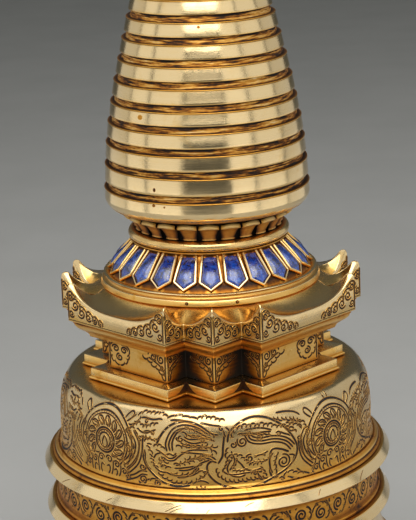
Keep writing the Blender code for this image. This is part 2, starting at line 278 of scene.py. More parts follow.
def mix(tree, factor, first, second):
    return add_node(tree, "Mix", {0: factor, 6: first, 7: (*second, 1.0)}, data_type="RGBA").outputs[2]


def bump(tree, height, strength, distance, below=None):
    inputs = {"Height": height, "Strength": strength, "Distance": distance}
    if below:
        inputs["Normal"] = below
    return add_node(tree, "Bump", inputs).outputs["Normal"]


def ramp(tree, value, stops):
    """A colour ramp of (position, colour) stops."""
    node = add_node(tree, "ValToRGB", {"Fac": value})
    elements = node.color_ramp.elements
    while len(elements) < len(stops):
        elements.new(1.0)
    for element, (position, colour) in zip(elements, stops):
        element.position = position
        element.color = (*colour, 1.0)
    return node.outputs["Color"]


def new_material(name):
    """A material with its node tree, its shader and the object's own coordinates."""
    material = bpy.data.materials.new(name)
    material.use_nodes = True
    tree = material.node_tree
    return material, tree, tree.nodes["Principled BSDF"], add_node(tree, "TexCoord").outputs["Object"]


GILT_RAMP = (
    (0.0, (0.87, 0.665, 0.365)),
    (0.2, (0.82, 0.51, 0.155)),
    (0.4, (0.70, 0.35, 0.056)),
    (0.58, (0.45, 0.165, 0.022)),
    (0.75, (0.14, 0.05, 0.012)),
    (0.9, (0.03, 0.014, 0.008)),
    (1.0, (0.010, 0.007, 0.005)))
LAPIS_RAMP = (
    (0.40, (0.001, 0.006, 0.04)),
    (0.47, (0.002, 0.020, 0.19)),
    (0.56, (0.004, 0.060, 0.42)),
    (0.66, (0.03, 0.15, 0.52)),
    (0.79, (0.34, 0.46, 0.64)))
VEIN_COLOUR = (0.45, 0.50, 0.62)
PYRITE_COLOUR = (0.62, 0.47, 0.20)
FLOOR_RAMP = ((0.3, (0.41, 0.41, 0.405)), (0.7, (0.44, 0.44, 0.435)))
LEVEL_GRAIN = 950.0         # scale of the polishing marks in height: they lie level


def gilt(name, base_recess=0.0, gloss=0.16, streaks=0.25, crevice_shade=0.5, metallic=1.0, grain_scale=22.0,
         shade=1.0, stains=0.08):
    """Gilded copper: pale where it is polished, warmer and then dark brown where it is recessed and worn and
    where shade is painted, and darkened in crevices by ambient occlusion as painted shade.
    """
    material, tree, shader, place = new_material(name)
    layer = add_node(tree, "Attribute", attribute_name="wear_and_shade").outputs["Fac"]
    level = add_node(tree, "Mapping", {"Vector": place, "Scale": (grain_scale, grain_scale, LEVEL_GRAIN)})
    grain = noise(tree, level.outputs["Vector"], 1.0, 4.0, 0.7)
    cloud = noise(tree, place, 55.0, 5.0, 0.62)
    speckle = noise(tree, place, 520.0, 4.0, 0.7)
    # Painted shade: ambient occlusion darkens and warms the gilding in crevices, by the crevice amount.
    occluded = add_node(tree, "AmbientOcclusion", {"Distance": 0.006}, samples=6).outputs["AO"]
    occlusion_shade = calc(tree, "MULTIPLY", calc(tree, "SUBTRACT", 1.0, occluded), crevice_shade)
    worn = map_range(tree, noise(tree, place, 68.0, 7.0, 0.7, 0.8), 0.57, 0.69, 0.0, stains)
    depth = total(tree, layer, base_recess, total(tree, occlusion_shade, worn))
    unrest = total(tree, sway(tree, cloud, 0.34), sway(tree, grain, streaks), sway(tree, speckle, 0.16))
    swing = total(tree, calc(tree, "MULTIPLY", depth, 1.1), 0.35)
    tone = calc(tree, "ADD", depth, calc(tree, "MULTIPLY", unrest, swing), clamp=True)
    dull = calc(tree, "MULTIPLY", calc(tree, "POWER", tone, 0.9), 0.42)
    waves = bump(tree, noise(tree, place, 38.0, 2.0), 0.35, 0.0013)
    set_inputs(tree, shader, {
        "Base Color": ramp(tree, tone, [(at, [part * shade for part in colour]) for at, colour in GILT_RAMP]),
        "Roughness": total(tree, dull, gloss, sway(tree, speckle, 0.12)),
        "Metallic": map_range(tree, tone, 0.7, 1.0, metallic, 0.35),
        "Normal": bump(tree, speckle, 0.10, 0.00025, bump(tree, grain, 0.12, 0.0002, waves))})
    return material


def lapis(name):
    """Deep blue stone with paler clouds, white veins and specks of pyrite."""
    material, tree, shader, place = new_material(name)
    stone = ramp(tree, noise(tree, place, 300.0, 7.0, 0.78, 0.6), LAPIS_RAMP)
    vein = noise(tree, place, 620.0, 5.0, 0.75)
    veined = mix(tree, map_range(tree, vein, 0.6, 0.74, 0.0, 0.4), stone, VEIN_COLOUR)
    fleck = add_node(tree, "TexVoronoi", {"Vector": place, "Scale": 900.0}).outputs["Distance"]
    where = calc(tree, "GREATER_THAN", noise(tree, place, 260.0, 2.0), 0.53)
    pyrite = calc(tree, "MULTIPLY", calc(tree, "LESS_THAN", fleck, 0.13), where)
    set_inputs(tree, shader, {
        "Base Color": mix(tree, pyrite, veined, PYRITE_COLOUR),
        "Metallic": pyrite,
        "IOR": 2.0,
        "Roughness": total(tree, calc(tree, "MULTIPLY", vein, 0.2), 0.03),
        "Normal": bump(tree, vein, 0.25, 0.0003)})
    return material


def floor_material():
    material, tree, shader, place = new_material("pale_floor")
    set_inputs(tree, shader, {"Base Color": ramp(tree, noise(tree, place, 9.0, 4.0), FLOOR_RAMP),
                              "Roughness": 0.75})
    return material


GILT = gilt("polished_gilt")
WARM_GILT = gilt("warm_gilt", base_recess=0.09, gloss=0.2, streaks=0.35, stains=0.24)
# Painted shade: the drum's and the roof's gilding are darker copies of the same gold, dimmed by their shade
# factor.
DRUM_GILT = gilt("drum_gilt", gloss=0.18, shade=0.84, stains=0.16)
BOX_GILT = gilt("box_gilt", base_recess=0.03, gloss=0.2, streaks=0.3, crevice_shade=0.08, stains=0.24)
ROOF_GILT = gilt("roof_gilt", base_recess=0.03, gloss=0.17, streaks=0.12, crevice_shade=0.2, shade=0.9, stains=0.12)
RIM_GILT = gilt("rim_gilt", gloss=0.2, streaks=0.2, crevice_shade=0.2)
CUP_GILT = gilt("cup_gilt", base_recess=0.2, gloss=0.26, streaks=0.2, crevice_shade=0.1, metallic=0.4)
STREAKED = gilt("streaked_gilt", base_recess=0.03, gloss=0.32, streaks=3.0, crevice_shade=0.1, metallic=0.8,
                grain_scale=75.0)
COPPER = gilt("copper_plate", base_recess=0.42, gloss=0.32)
LAPIS = lapis("lapis_stone")


# Camera, light and floor

def add_camera():
    camera = add_object("photo_view", bpy.data.cameras.new("photo_view"))
    camera.data.sensor_width = SENSOR
    camera.data.lens = VIEW_FOCAL_PIXELS * SENSOR / VIEW_LONG_SIDE_PIXELS
    camera.data.clip_start = 0.02
    turn = Matrix.Rotation(-VIEW_YAW, 4, "Z") @ Matrix.Rotation(QUARTER - VIEW_PITCH, 4, "X")
    roll = Matrix.Rotation(VIEW_ROLL, 4, "Z")
    back = VIEW_DISTANCE * math.cos(VIEW_PITCH)
    up = VIEW_TARGET_HEIGHT + VIEW_DISTANCE * math.sin(VIEW_PITCH)
    camera.matrix_world = Matrix.Translation((0.0, -back, up)) @ turn @ roll
    bpy.context.scene.camera = camera


def add_panel(name, centre, aim_height, width, height, radiance, diffuse=False, glossy=True):
    """A soft rectangular panel that faces a point of the axis."""
    light = bpy.data.lights.new(name, "AREA")
    light.shape = "RECTANGLE"
    light.size = width
    light.size_y = height
    light.energy = radiance * math.pi * width * height
    light.color = PANEL_COLOUR
    lamp = add_object(name, light)
    lamp.location = centre
    lamp.rotation_euler = (Vector(centre) - Vector((0.0, 0.0, aim_height))).to_track_quat("Z", "Y").to_euler()
    lamp.visible_camera = False
    lamp.visible_diffuse = diffuse
    lamp.visible_glossy = glossy


def add_wall_panel(name, start, end, radiance):
    """An upright panel across the compass angles start to end, seen only in reflections."""
    middle = math.radians((start + end) / 2)
    width = 2 * WALL_DISTANCE * math.sin(math.radians(end - start) / 2)
    centre = (WALL_DISTANCE * math.sin(middle), -WALL_DISTANCE * math.cos(middle), WALL_HEIGHT / 2)
    add_panel(name, centre, WALL_HEIGHT / 2, width, WALL_HEIGHT, radiance)


def add_sky_panel(name, azimuth, elevation, distance, width, height, radiance):
    """A panel above, at a compass angle and an elevation, seen only in reflections."""
    turn, rise = math.radians(azimuth), math.radians(elevation)
    level = distance * math.cos(rise)
    centre = (level * math.sin(turn), -level * math.cos(turn), AIM_HEIGHT + distance * math.sin(rise))
    add_panel(name, centre, AIM_HEIGHT, width, height, radiance)


def add_light():
    world = bpy.data.worlds.new("studio")
    bpy.context.scene.world = world
    world.use_nodes = True
    tree = world.node_tree
    outward = add_node(tree, "TexCoord").outputs["Generated"]
    upward = add_node(tree, "SeparateXYZ", {"Vector": outward}).outputs["Z"]
    set_inputs(tree, tree.nodes["Background"], {
        "Color": WORLD_COLOUR, "Strength": map_range(tree, upward, 0.0, 1.0, HORIZON_LIGHT, ZENITH_LIGHT)})
    for panel in WALL_PANELS:
        add_wall_panel(*panel)
    for name, y, z, *rest in FRONT_PANELS:
        add_panel(name, (0.0, y, z), *rest)
    for panel in SKY_PANELS:
        add_sky_panel(*panel)
    bpy.context.scene.view_settings.view_transform = "Standard"


def add_floor():
    corners = [(x * FLOOR_REACH, y * FLOOR_REACH, 0.0) for x, y in ((-1, -1), (1, -1), (1, 1), (-1, 1))]
    mesh = build_mesh("floor", (corners, [(0, 1, 2, 3)], [POLISHED] * 4))
    mesh.materials.append(floor_material())
    add_object("floor", mesh)


add_camera()
add_light()
add_floor()


# Lotus base, below the photograph's edge

LOTUS_PETALS = 16
PETAL_COLUMNS = 9
PETAL_ROWS = 12
PETAL_NARROWS = 0.55        # share of a petal's length from which it narrows to its tip
PETAL_CROWN = 2.8
BEHIND = 0.8                # how far a petal of the second row lies behind the first
BEAD_RADIUS = 2.3
BEAD_SIDES = 12
BEAD_ROWS = 7


def petal_part(angle, path, half_width, crown, edge_tone):
    """One petal about the axis: path is its (radius, height) spine from root to tip."""
    spine = np.array(path)
    across = np.linspace(-1.0, 1.0, PETAL_COLUMNS)
    rolled_edge = 0.28 * crown * (np.abs(across) > 0.7)
    rows = []
    for t in np.linspace(0.0, 1.0, PETAL_ROWS):
        radius, height = [np.interp(t * (len(spine) - 1), np.arange(len(spine)), axis) for axis in spine.T]
        to_tip = max(0.0, (t - PETAL_NARROWS) / (1 - PETAL_NARROWS))
        width = half_width * (0.80 + 0.20 * math.sin(QUARTER * min(t / PETAL_NARROWS, 1.0)))
        width *= math.sqrt(1 - to_tip ** 2)
        bulge = crown * (1 - across ** 2) * math.sin(math.pi * (0.15 + 0.75 * t))
        tone = edge_tone * np.abs(across) ** 3 + (0.25 * (1 - t) if t < 0.4 else 0.0)
        rows.append((about_axis(radius + bulge + rolled_edge, height, angle + across * width / radius), tone))
    points, faces, wear_and_shade = sheet_part(rows)
    rises = spine[-1, 1] > spine[0, 1]
    return points, faces if rises else [face[::-1] for face in faces], wear_and_shade


def petal_row(name, node, half_width, path, bed_foot, bed_head):
    """A bed with a row of raised petals, and the tips of a second row between them."""
    parts = [revolve_part(profile_of(node, bed_foot, bed_head, 0.0))]
    for i in range(LOTUS_PETALS):
        front = math.tau * (i + 0.5) / LOTUS_PETALS
        behind = [(radius - BEHIND, height) for radius, height in path]
        parts.append(petal_part(front, path, half_width, PETAL_CROWN, WARM))
        between = front + math.pi / LOTUS_PETALS
        parts.append(petal_part(between, behind, half_width * 0.55, PETAL_CROWN / 2, DEEP))
    add_piece(name, parts, WARM_GILT, "warm_gilt", node, smooth_angle=48.0)


def bead_row(name, node, beads):
    """Round beads side by side on a narrow bed."""
    radius, low, high = span(node)
    middle = (low + high) / 2
    ring = radius - BEAD_RADIUS
    parts = [revolve_part([
        (ring - 2.0, low, WARM), (radius - 1.2, low, WARM, 0.3), (ring - 0.4, middle, DARK),
        (radius - 1.2, high, WARM, 0.3), (ring - 2.0, high, WARM)])]
    turns = all_round(BEAD_SIDES)
    round_plan = np.column_stack([np.cos(turns), np.sin(turns)]) * BEAD_RADIUS
    for angle in all_round(beads):
        rows = []
        for tilt in np.linspace(-QUARTER, QUARTER, BEAD_ROWS):
            plan = rotated(round_plan * math.cos(tilt) + (ring, 0.0), angle)
            height = middle + BEAD_RADIUS * math.sin(tilt)
            rows.append((np.column_stack([plan, np.full(BEAD_SIDES, height)]), SOFT))
        parts.append(sheet_part(rows, closed_columns=True))
    add_piece(name, parts, GILT, "pale_gilt", node, smooth_angle=50.0)


def lotus_base():
    turned("copper_foot_plate", "foot_plate", profile_of(
        "foot_plate", [(-1.0, 0.0, WARM), (0.0, 0.8, WARM, 0.3)], [(0.0, 0.0, DEEP)]), COPPER, "copper_plate")
    turned("rolled_base_rim", "base_rim", profile_of(
        "base_rim", [(-2.0, 0.0, DEEP), (0.0, 1.0, SOFT, 0.8)],
        [(0.0, -1.8, POLISHED, 1.4), (-2.4, -0.3, WARM, 0.4), (-3.0, 0.0, DEEP)]), GILT, "pale_gilt")
    bead_row("lower_bead_row", "lower_beading", 104)
    bead_row("upper_bead_row", "upper_beading", 96)
    petal_row("lower_lotus_petals", "lower_lotus", 17.0, profile_of(
        "lower_lotus", [(102.4, 1.2), (100.0, 3.2), (95.5, 7.5), (88.0, 14.0)], [(83.0, -0.6)], 0.0)[::-1],
        [(94.0, 0.0, DARK), (96.0, 1.0, DARK, 0.4), (84.0, 11.0, DARK, 4.0)], [(80.5, 0.0, DARK)])
    turned("lotus_waist_band", "lotus_waist", profile_of(
        "lotus_waist", [(0.0, 0.0, DEEP), (-0.4, 0.9, WARM, 0.3), (-2.4, 1.6, WARM, 0.5)],
        [(-2.4, -1.6, WARM, 0.5), (-0.4, -0.9, WARM, 0.3), (0.0, 0.0, DEEP)]), WARM_GILT, "warm_gilt")
    petal_row("upper_lotus_petals", "upper_lotus", 16.2, profile_of(
        "upper_lotus", [(82.4, 0.6)], [(86.5, -13.0), (91.5, -7.0), (95.0, -3.0), (97.6, -1.0)], 0.0),
        [(80.5, 0.0, DARK)], [(83.0, -11.0, DARK, 4.0), (90.0, -1.0, DARK, 0.4), (89.0, 0.0, DARK)])
    turned("base_top_ring", "base_top_moulding", profile_of(
        "base_top_moulding", [(-1.5, 0.0, DEEP), (0.0, 1.4, POLISHED, 1.0)],
        [(-0.4, -1.2, POLISHED, 1.0), (-2.5, 0.0, WARM)]), GILT, "pale_gilt")


# Body: skirt, girdle and drum

DRUM_WALL_INSET = 1.0       # of the drum's wall from the foot's edge


def drum_wall():
    return span("body_drum")[0] - DRUM_WALL_INSET


def drum_profile():
    return profile_of("body_drum", [
        (1.0, 0.0, WARM), (1.0, 0.4, WARM, 0.2), (0.3, 1.4, WARM, 1.0), (-0.1, 5.0, 0.24, 3.0),
        (0.0, 18.0, 0.15, 8.0), (-1.6, 30.2, 0.06, 5.5)],
        [(-6.6, -0.7, POLISHED, 5.0), (-12.0, -0.1, 0.2), (-24.0, 0.0, WARM)], drum_wall())


def ring_profile(node):
    return profile_of(node, [
        (-5.0, 0.0, DARK), (-1.8, 0.0, DEEP, 0.2), (-0.7, 0.3, WARM, 0.3), (0.0, 0.8, POLISHED, 0.45)],
        [(-2.75, -0.5, POLISHED, 0.3), (-3.05, -0.15, WARM, 0.12), (-3.5, 0.0, WARM), (-5.5, 0.0, DEEP)])


def body():
    turned("flared_skirt", "bell_skirt", profile_of(
        "bell_skirt",
        [(0.0, 0.0, DEEP), (0.0, 1.4, WARM, 0.4), (-1.6, 2.6, WARM, 0.6), (-5.0, 11.0, SOFT, 7.0)],
        [(-7.2, -7.0, POLISHED, 6.0), (-7.4, 0.0, WARM)]), GILT, "pale_gilt")
    for name, node in (("lower_girdle_ring", "lower_band_ring"), ("upper_girdle_ring", "upper_band_ring")):
        turned(name, node, ring_profile(node), GILT, "pale_gilt")
    turned("engraved_girdle", "engraved_band", profile_of(
        "engraved_band",
        [(0.0, 0.0, WARM), (0.0, 1.1, WARM, 0.5), (-1.3, 1.9, DEEP, 0.4), (-1.5, 4.0, WARM, 1.0)],
        [(-1.5, -4.0, WARM, 1.0), (-1.3, -1.9, DEEP, 0.4), (0.0, -1.1, WARM, 0.5), (0.0, 0.0, WARM)]),
        WARM_GILT, "warm_gilt")
    turned("drum_fillet_lines", "drum_fillets", profile_of("drum_fillets", [
        (-0.6, 0.0, DARK), (0.0, 0.15, 0.44, 0.1), (0.0, 0.65, 0.44, 0.2), (-0.35, 0.85, WARM, 0.15),
        (-0.9, 1.35, DEEP, 0.2), (-1.3, 1.55, COPPERY, 0.1), (-1.5, 2.1, COPPERY, 0.1),
        (-1.2, 2.25, SOFT, 0.15), (-1.4, 2.75, SOFT, 0.25), (-2.1, 3.3, WARM, 0.4)],
        [(-2.4, -0.5, WARM, 0.3), (-2.8, 0.0, WARM)]), WARM_GILT, "warm_gilt")
    turned("polished_drum", "body_drum", drum_profile(), DRUM_GILT, "pale_gilt", sides=256)


# Harmika: the redented square of plinth, neck, moulding and horned eaves

HALF_SIDE = 66.8            # from the axis to a long side of the eaves
HALF_FACE = 34.4            # half the length of a long side
PLINTH_INSET = 6.9
NECK_INSET = 13.6
CORNER_ROUNDING = 0.5
ARC_STEPS = 3
EAVES_EDGE = 211.0          # top of the fascia at the middle of a long side
NOTCH_TONE = 0.22           # how much warmer the roof is in a notch than on a long side
FASCIA_LEAN = 0.25          # how far the fascia leans in at its top
EDGE_BEVEL = 0.9            # width of the rounded edge above the fascia, and how much it grows to a tip
TIP_BEVEL = 2.8
HORN_POWER = 1.9            # how quickly a horn rises out of the roof towards its tip
QUARTER_EDGES = 5           # edges in a quarter of the plan, the last of which is a long side
LONG_EDGE = 4


def redented_corners(inset):
    """The twenty corners of the stepped square, turned so that a corner tip faces the front."""
    half_corner = span("eaves_roof")[0] / math.sqrt(2)
    side, corner, face = HALF_SIDE - inset, half_corner - inset, HALF_FACE - inset
    quarter = np.array([(side, face), (corner, face), (corner, corner), (face, corner), (face, side)])
    return np.concatenate([rotated(quarter, (turn + 0.5) * QUARTER) for turn in range(4)])


def redented_edges(inset):
    """Each edge's place in its quarter, its start, its direction, its length and the one before it."""
    corners = redented_corners(inset)
    steps = np.roll(corners, -1, 0) - corners
    lengths = np.linalg.norm(steps, axis=1)
    places = np.arange(len(corners)) % QUARTER_EDGES
    return list(zip(places, corners, steps / lengths[:, None], lengths))


def horn_lift(place, share):
    """How far the fascia has risen towards a tip, from 0 to 1, along one edge of the outline."""
    if place == LONG_EDGE:
        return (1.0 - 2.0 * min(share, 1.0 - share)) ** 3
    return (1.0 - share) ** 2 if place in (0, 2) else share ** 2


def redented_outline(inset):
    """The outline with rounded corners, as rows of (x, y, lift, notch)."""
    edges = redented_edges(inset)
    outline = []

    def add(point, place, share):
        lift = horn_lift(place, share)
        outline.append((*point, lift, 0.0 if place == LONG_EDGE else 1.0 - lift))

    for last, (place, here, way, length) in zip(edges[-1:] + edges, edges):
        for t in (np.arange(ARC_STEPS) + 0.5) / ARC_STEPS:
            point = here + CORNER_ROUNDING * (way * t ** 2 - last[2] * (1 - t) ** 2)
            add(point, *((place, 0.0) if t > 0.5 else (last[0], 1.0)))
        for reach in np.linspace(CORNER_ROUNDING, length - CORNER_ROUNDING, 48 if place == LONG_EDGE else 14):
            add(here + way * reach, place, reach / length)
    return np.array(outline)


def redented_stack(name, node, finish, slot, corner_shade, foot, head):
    """A moulded piece on the redented plan: its levels are (inset, height, tone), and it is darkened towards
    each concave corner as painted shade in the notches.
    """
    # Painted shade: darker towards the concave corners of the notches.
    darker = corner_shade * redented_outline(0.0)[:, 3] ** 2
    rows = []
    for inset, height, tone in profile_of(node, foot, head, 0.0):
        plan = redented_outline(inset)[:, :2]
        rows.append((np.column_stack([plan, np.full(len(plan), height)]), tone + darker))
    add_piece(name, [loft_part(rows)], finish, slot, node, smooth_angle=40.0)


def boss_profile():
    return profile_of("roof_boss", [
        (-2.4, 0.0, WARM), (-0.3, 0.0, 0.3), (0.0, 0.25, 0.24, 0.2), (-0.45, 2.3, 0.18),
        (-0.75, 2.75, POLISHED, 0.3), (-1.35, 3.0, 0.2, 0.25), (-2.3, 3.6, 0.24, 0.5)],
        [(-2.5, -0.35, 0.2, 0.3), (-2.2, 0.0, 0.2)])


def harmika():
    redented_stack("harmika_plinth_slab", "harmika_plinth", BOX_GILT, "pale_gilt", 0.12, [
        (7.4, 0.0, DEEP), (6.3, 0.1, WARM), (6.1, 0.4, WARM), (6.1, 1.0, SOFT), (6.3, 1.3, WARM),
        (PLINTH_INSET, 1.6, WARM), (PLINTH_INSET, 2.0, SOFT)],
        [(PLINTH_INSET, -0.5, SOFT), (7.05, -0.15, POLISHED), (7.4, 0.0, POLISHED)])
    redented_stack("harmika_neck_walls", "harmika_neck", WARM_GILT, "warm_gilt", 0.66,
                   [(NECK_INSET, 0.0, WARM), (NECK_INSET, 1.6, SOFT)],
                   [(NECK_INSET, -3.0, SOFT), (NECK_INSET, 0.0, WARM)])
    redented_stack("eaves_cyma", "eaves_moulding", BOX_GILT, "warm_gilt", 0.25, [
        (8.4, 0.0, DEEP), (7.4, 0.2, DEEP), (7.1, 1.0, WARM), (6.6, 2.0, WARM), (5.6, 3.0, WARM),
        (4.2, 3.9, 0.26), (3.0, 4.9, 0.16), (2.2, 6.2, 0.18), (1.9, 7.2, WARM), (1.6, 7.4, DEEP)],
        [(1.6, 0.0, DEEP)])
    eaves_roof()
    turned("roof_boss_ring", "roof_boss", boss_profile(), BOX_GILT, "pale_gilt")


def eaves_roof():
    """A fascia that rises to a point at each tip, and a hollow sweep from it to the boss."""
    low, tip = span("eaves_roof")[1:]
    boss, roof_top = span("roof_boss")[0] - 1.4, span("roof_boss")[1] - 0.3
    outer, lift, notch = np.split(redented_outline(0.0), (2, 3), axis=1)
    lift, notch = lift.ravel(), notch.ravel()
    inner = redented_outline(FASCIA_LEAN)[:, :2]
    edge = EAVES_EDGE + (tip - EAVES_EDGE) * lift
    reach = np.linalg.norm(inner, axis=1)
    bevel = EDGE_BEVEL + TIP_BEVEL * lift ** 0.8

    def row(plan, heights, tone):
        return np.column_stack([plan, np.broadcast_to(heights, (len(plan),))]), tone

    def edge_row(share, rise, tone):
        """A row of the rounded edge above the fascia: a share of its width in, and risen by a share."""
        return row(inner * (1.0 - share * bevel / reach)[:, None], edge + rise * bevel, tone)

    def roof_row(share):
        """A row of the sweep, from the inside of the rounded edge at 1 to the boss at 0."""
        radii = boss + (reach - bevel - boss) * share
        heights = (EAVES_EDGE + (roof_top - EAVES_EDGE) * (1 - share) ** (2.0 - 0.9 * notch)
                   + (edge - 0.16 * bevel - EAVES_EDGE) * share ** HORN_POWER)
        tone = 0.04 + NOTCH_TONE * notch * share + 0.14 * (1 - share) ** 3
        return row(inner * (radii / reach)[:, None], heights, tone)

    rows = [row(inner, low, WARM), row(outer, low + 0.25, SOFT), row(outer, low + 0.75, SOFT),
            row(inner, low + 0.85, BLACK), row(inner, low + 1.05, BLACK), row(outer, low + 1.15, SOFT),
            row(outer, low + 4.0, 0.02 + 0.12 * notch), edge_row(0.0, -0.75, 0.1 * notch)]
    for share, rise in ((0.04, -0.5), (0.16, -0.26), (0.36, -0.1), (0.62, -0.06), (0.88, -0.1)):
        rows.append(edge_row(share, rise, POLISHED))
    rows += [roof_row(share) for share in (1.0, 0.97, 0.93, *np.linspace(0.88, 0.0, 15))]
    add_piece("horned_eaves_roof", [loft_part(rows)], ROOF_GILT, "pale_gilt", "eaves_roof", smooth_angle=34.0)


# Engraving: lines drawn flat as (u, v) in millimetres, u to the right and v up, then cut into a surface

LINE_STEP = 0.8             # length of one segment of a cut
BOLD = 1.65                 # widths of a cut with its two burrs
PLAIN = 1.36
THIN = 0.95
HAIR = 0.36
CUT_SECTION = (             # across a cut: share of its half width, height and tone
    (-1.0, -0.10, WARM), (-0.76, 0.05, 0.3), (-0.52, 0.015, BLACK), (0.52, 0.015, BLACK),
    (0.76, 0.07, 0.16), (1.0, -0.10, WARM))


def polar(u, v, radius, turn):
    """Points at a distance and an angle from (u, v)."""
    return np.stack([u + radius * np.cos(turn), v + radius * np.sin(turn)], -1)


def arc(u, v, radius, start, end):
    """Part of a circle, with its angles in degrees, anticlockwise from the right."""
    steps = 4 + int(abs(end - start) * radius / 45.0)
    return polar(u, v, radius, np.radians(np.linspace(start, end, steps)))


def spiral(u, v, radius, start, turns):
    """A line that winds inwards; negative turns wind clockwise."""
    share = np.linspace(0.0, 1.0, 8 + int(abs(turns) * 14))
    return polar(u, v, radius * (1.0 - 0.8 * share ** 0.9), math.radians(start) + math.tau * turns * share)


def curve(*points):
    """A smooth line through a few points."""
    points = np.array(points, float)
    padded = np.vstack([2 * points[0] - points[1], points, 2 * points[-1] - points[-2]])
    line = []
    for a, b, c, d in zip(padded, padded[1:], padded[2:], padded[3:]):
        for t in np.linspace(0.0, 1.0, 9)[:-1]:
            line.append(b + 0.5 * t * (c - a + t * (2 * a - 5 * b + 4 * c - d + t * (3 * (b - c) + d - a))))
    return np.array(line + [points[-1]])


def line_length(line):
    return np.linalg.norm(np.diff(line, axis=0), axis=1).sum()


def stations(line, count):
    """Points at equal distances along a line."""
    lengths = np.concatenate([[0.0], np.cumsum(np.linalg.norm(np.diff(line, axis=0), axis=1))])
    reach = np.linspace(0.0, lengths[-1], count)
    return np.column_stack([np.interp(reach, lengths, axis) for axis in line.T])


def left_of(line):
    """The unit vector to the left of a line at each of its points."""
    along = np.gradient(line, axis=0)
    left = np.column_stack([-along[:, 1], along[:, 0]])
    return left / np.maximum(np.linalg.norm(along, axis=1), 1e-9)[:, None]


def flames(points, teeth, size, side=1, ribs=False):
    """Half of an acanthus leaf: claws that lean forward along a line, and the rib beside them."""
    line = curve(*points)
    posts = stations(line, teeth + 1)
    strokes = []
    if ribs:
        run = stations(line, 12)
        depth = size * 1.5 * np.sin(np.linspace(0.5, 2.5, 12))
        strokes.append((run - side * left_of(run) * depth[:, None])[1:-1])
    for tooth, (here, ahead) in enumerate(zip(posts, posts[1:])):
        step = ahead - here
        out = side * size * np.array([-step[1], step[0]]) / np.linalg.norm(step)
        out = out * (1.1 if tooth % 2 else 0.85)
        claw = ((0.0, 0.0), (0.04, 0.62), (0.5, 1.06), (1.04, 0.98), (1.12, 0.56))
        strokes.append(curve(*[here + forward * step + outward * out for forward, outward in claw]))
    return strokes


def band_of_lines(points, gap, count):
    """Parallel lines to the left of a curve, as on a sheath or a ribbon."""
    line = curve(*points)
    left = left_of(line)
    return [line + left * gap * i for i in range(count)]


def mirrored(strokes, middle=0.0):
    return [line * (-1, 1) + (2 * middle, 0.0) for line in strokes]


def cut_part(line, place, width):
    """One cut along a line: a dark floor between two bright burrs, closed underneath."""
    length = line_length(line)
    count = 3 + int(length / LINE_STEP)
    path = stations(line, count)
    reach = np.linspace(0.0, length, count)
    across = left_of(path)
    taper = np.minimum(1.0, 0.45 + np.minimum(reach, length - reach) / 1.4) * width / 2
    offsets, lifts, tones = np.array(CUT_SECTION).T
    sides = len(offsets)
    columns = [place(*(path + across * (offset * taper)[:, None]).T, lift)
               for offset, lift in zip(offsets, lifts)]
    start, side = np.meshgrid(np.arange(count - 1) * sides, np.arange(sides), indexing="ij")
    after = (side + 1) % sides
    quads = np.stack([start + side, start + sides + side, start + sides + after, start + after], -1)
    faces = quads.reshape(-1, 4).tolist()
    faces += [list(range(sides)), list(range(count * sides - 1, (count - 1) * sides - 1, -1))]
    return np.stack(columns, axis=1).reshape(-1, 3), faces, np.tile(tones, count)


def mark_part(place, stretch, *rings):
    """A small round mark, a rivet or a pit, from (radius, lift, tone) rings, closed underneath."""
    angles = all_round(12)
    return loft_part([(place(*(polar(0.0, 0.0, radius, angles) * (stretch, 1.0)).T, lift), tone)
                      for radius, lift, tone in rings])


def engrave(name, drawings, finish=GILT, slot="pale_gilt"):
    """Make one piece of many cuts: drawings are (strokes, place, width)."""
    parts = [cut_part(line, place, width) for strokes, place, width in drawings for line in strokes]
    add_piece(name, parts, finish, slot, smooth_angle=30.0)


def turned_place(profile, foot, reach, turn=0.0):
    """Map (u, v) to a turned surface: v is the height above foot, u is measured at radius reach."""
    radii, levels = round_corners(profile)[:, :2].T
    step = 0.3

    def place(u, v, lift):
        height = foot + v
        radius = np.interp(height, levels, radii)
        slope = (np.interp(height + step, levels, radii) - radius) / step
        lean = np.sqrt(1.0 + slope ** 2)
        return about_axis(radius + lift / lean, height - lift * slope / lean, turn + u / reach)
    return place


def wall_place(inset, edge, foot):
    """Map (u, v) to one upright wall of the redented plan: u runs from the wall's first corner."""
    start, along = redented_edges(inset)[edge][1:3]
    outward = np.array([along[1], -along[0]])

    def place(u, v, lift):
        return np.column_stack([start + np.outer(u, along) + lift * outward, foot + v])
    return place


MEDALLION_HEIGHT = 17.5     # of a medallion's centre above the foot of the drum
MEDALLION_SHIFTS = ((0.4, -0.9), (0.0, 0.0), (0.0, 0.0), (2.6, 1.0))     # the hand work is not quite regular
PADDLE = ((0.0, -0.7), (0.45, -1.0), (0.85, -0.85), (1.0, 0.0), (0.85, 0.85), (0.45, 1.0), (0.0, 0.7))
RIBBON_CURLS = (            # centre, radius, start angle and turns of each spiral at the right of a medallion
    (15.2, 17.2, 1.7, 80, 1.3), (2.7, 8.2, 2.2, 180, -1.4), (7.4, 6.4, 2.0, 150, -1.4),
    (11.9, 3.6, 1.8, 160, -1.3))
RIBBON_TAILS = (
    ((5.2, 8.0), (5.0, 4.0), (4.3, 0.6)), ((9.8, 6.6), (9.9, 3.4), (9.0, 0.6)),
    ((0.8, 4.2), (2.6, 5.0), (3.0, 2.4), (2.0, 0.6)), ((14.0, 4.8), (14.6, 2.4), (13.4, 0.4)),
    ((5.6, 3.0), (7.0, 4.0), (7.8, 2.2), (7.0, 0.5)))
JEWEL = ((0, 13.4), (-1.5, 15.0), (-1.6, 16.6), (0, 19.6), (1.6, 16.6), (1.5, 15.0), (0, 13.4))


def paddle(reach, angle, length, half_width):
    """A small round-ended leaf that points away from the medallion's centre."""
    outline = curve(*[(reach + length * along, half_width * across) for along, across in PADDLE])
    return rotated(outline, math.radians(angle)) + (0.0, MEDALLION_HEIGHT)


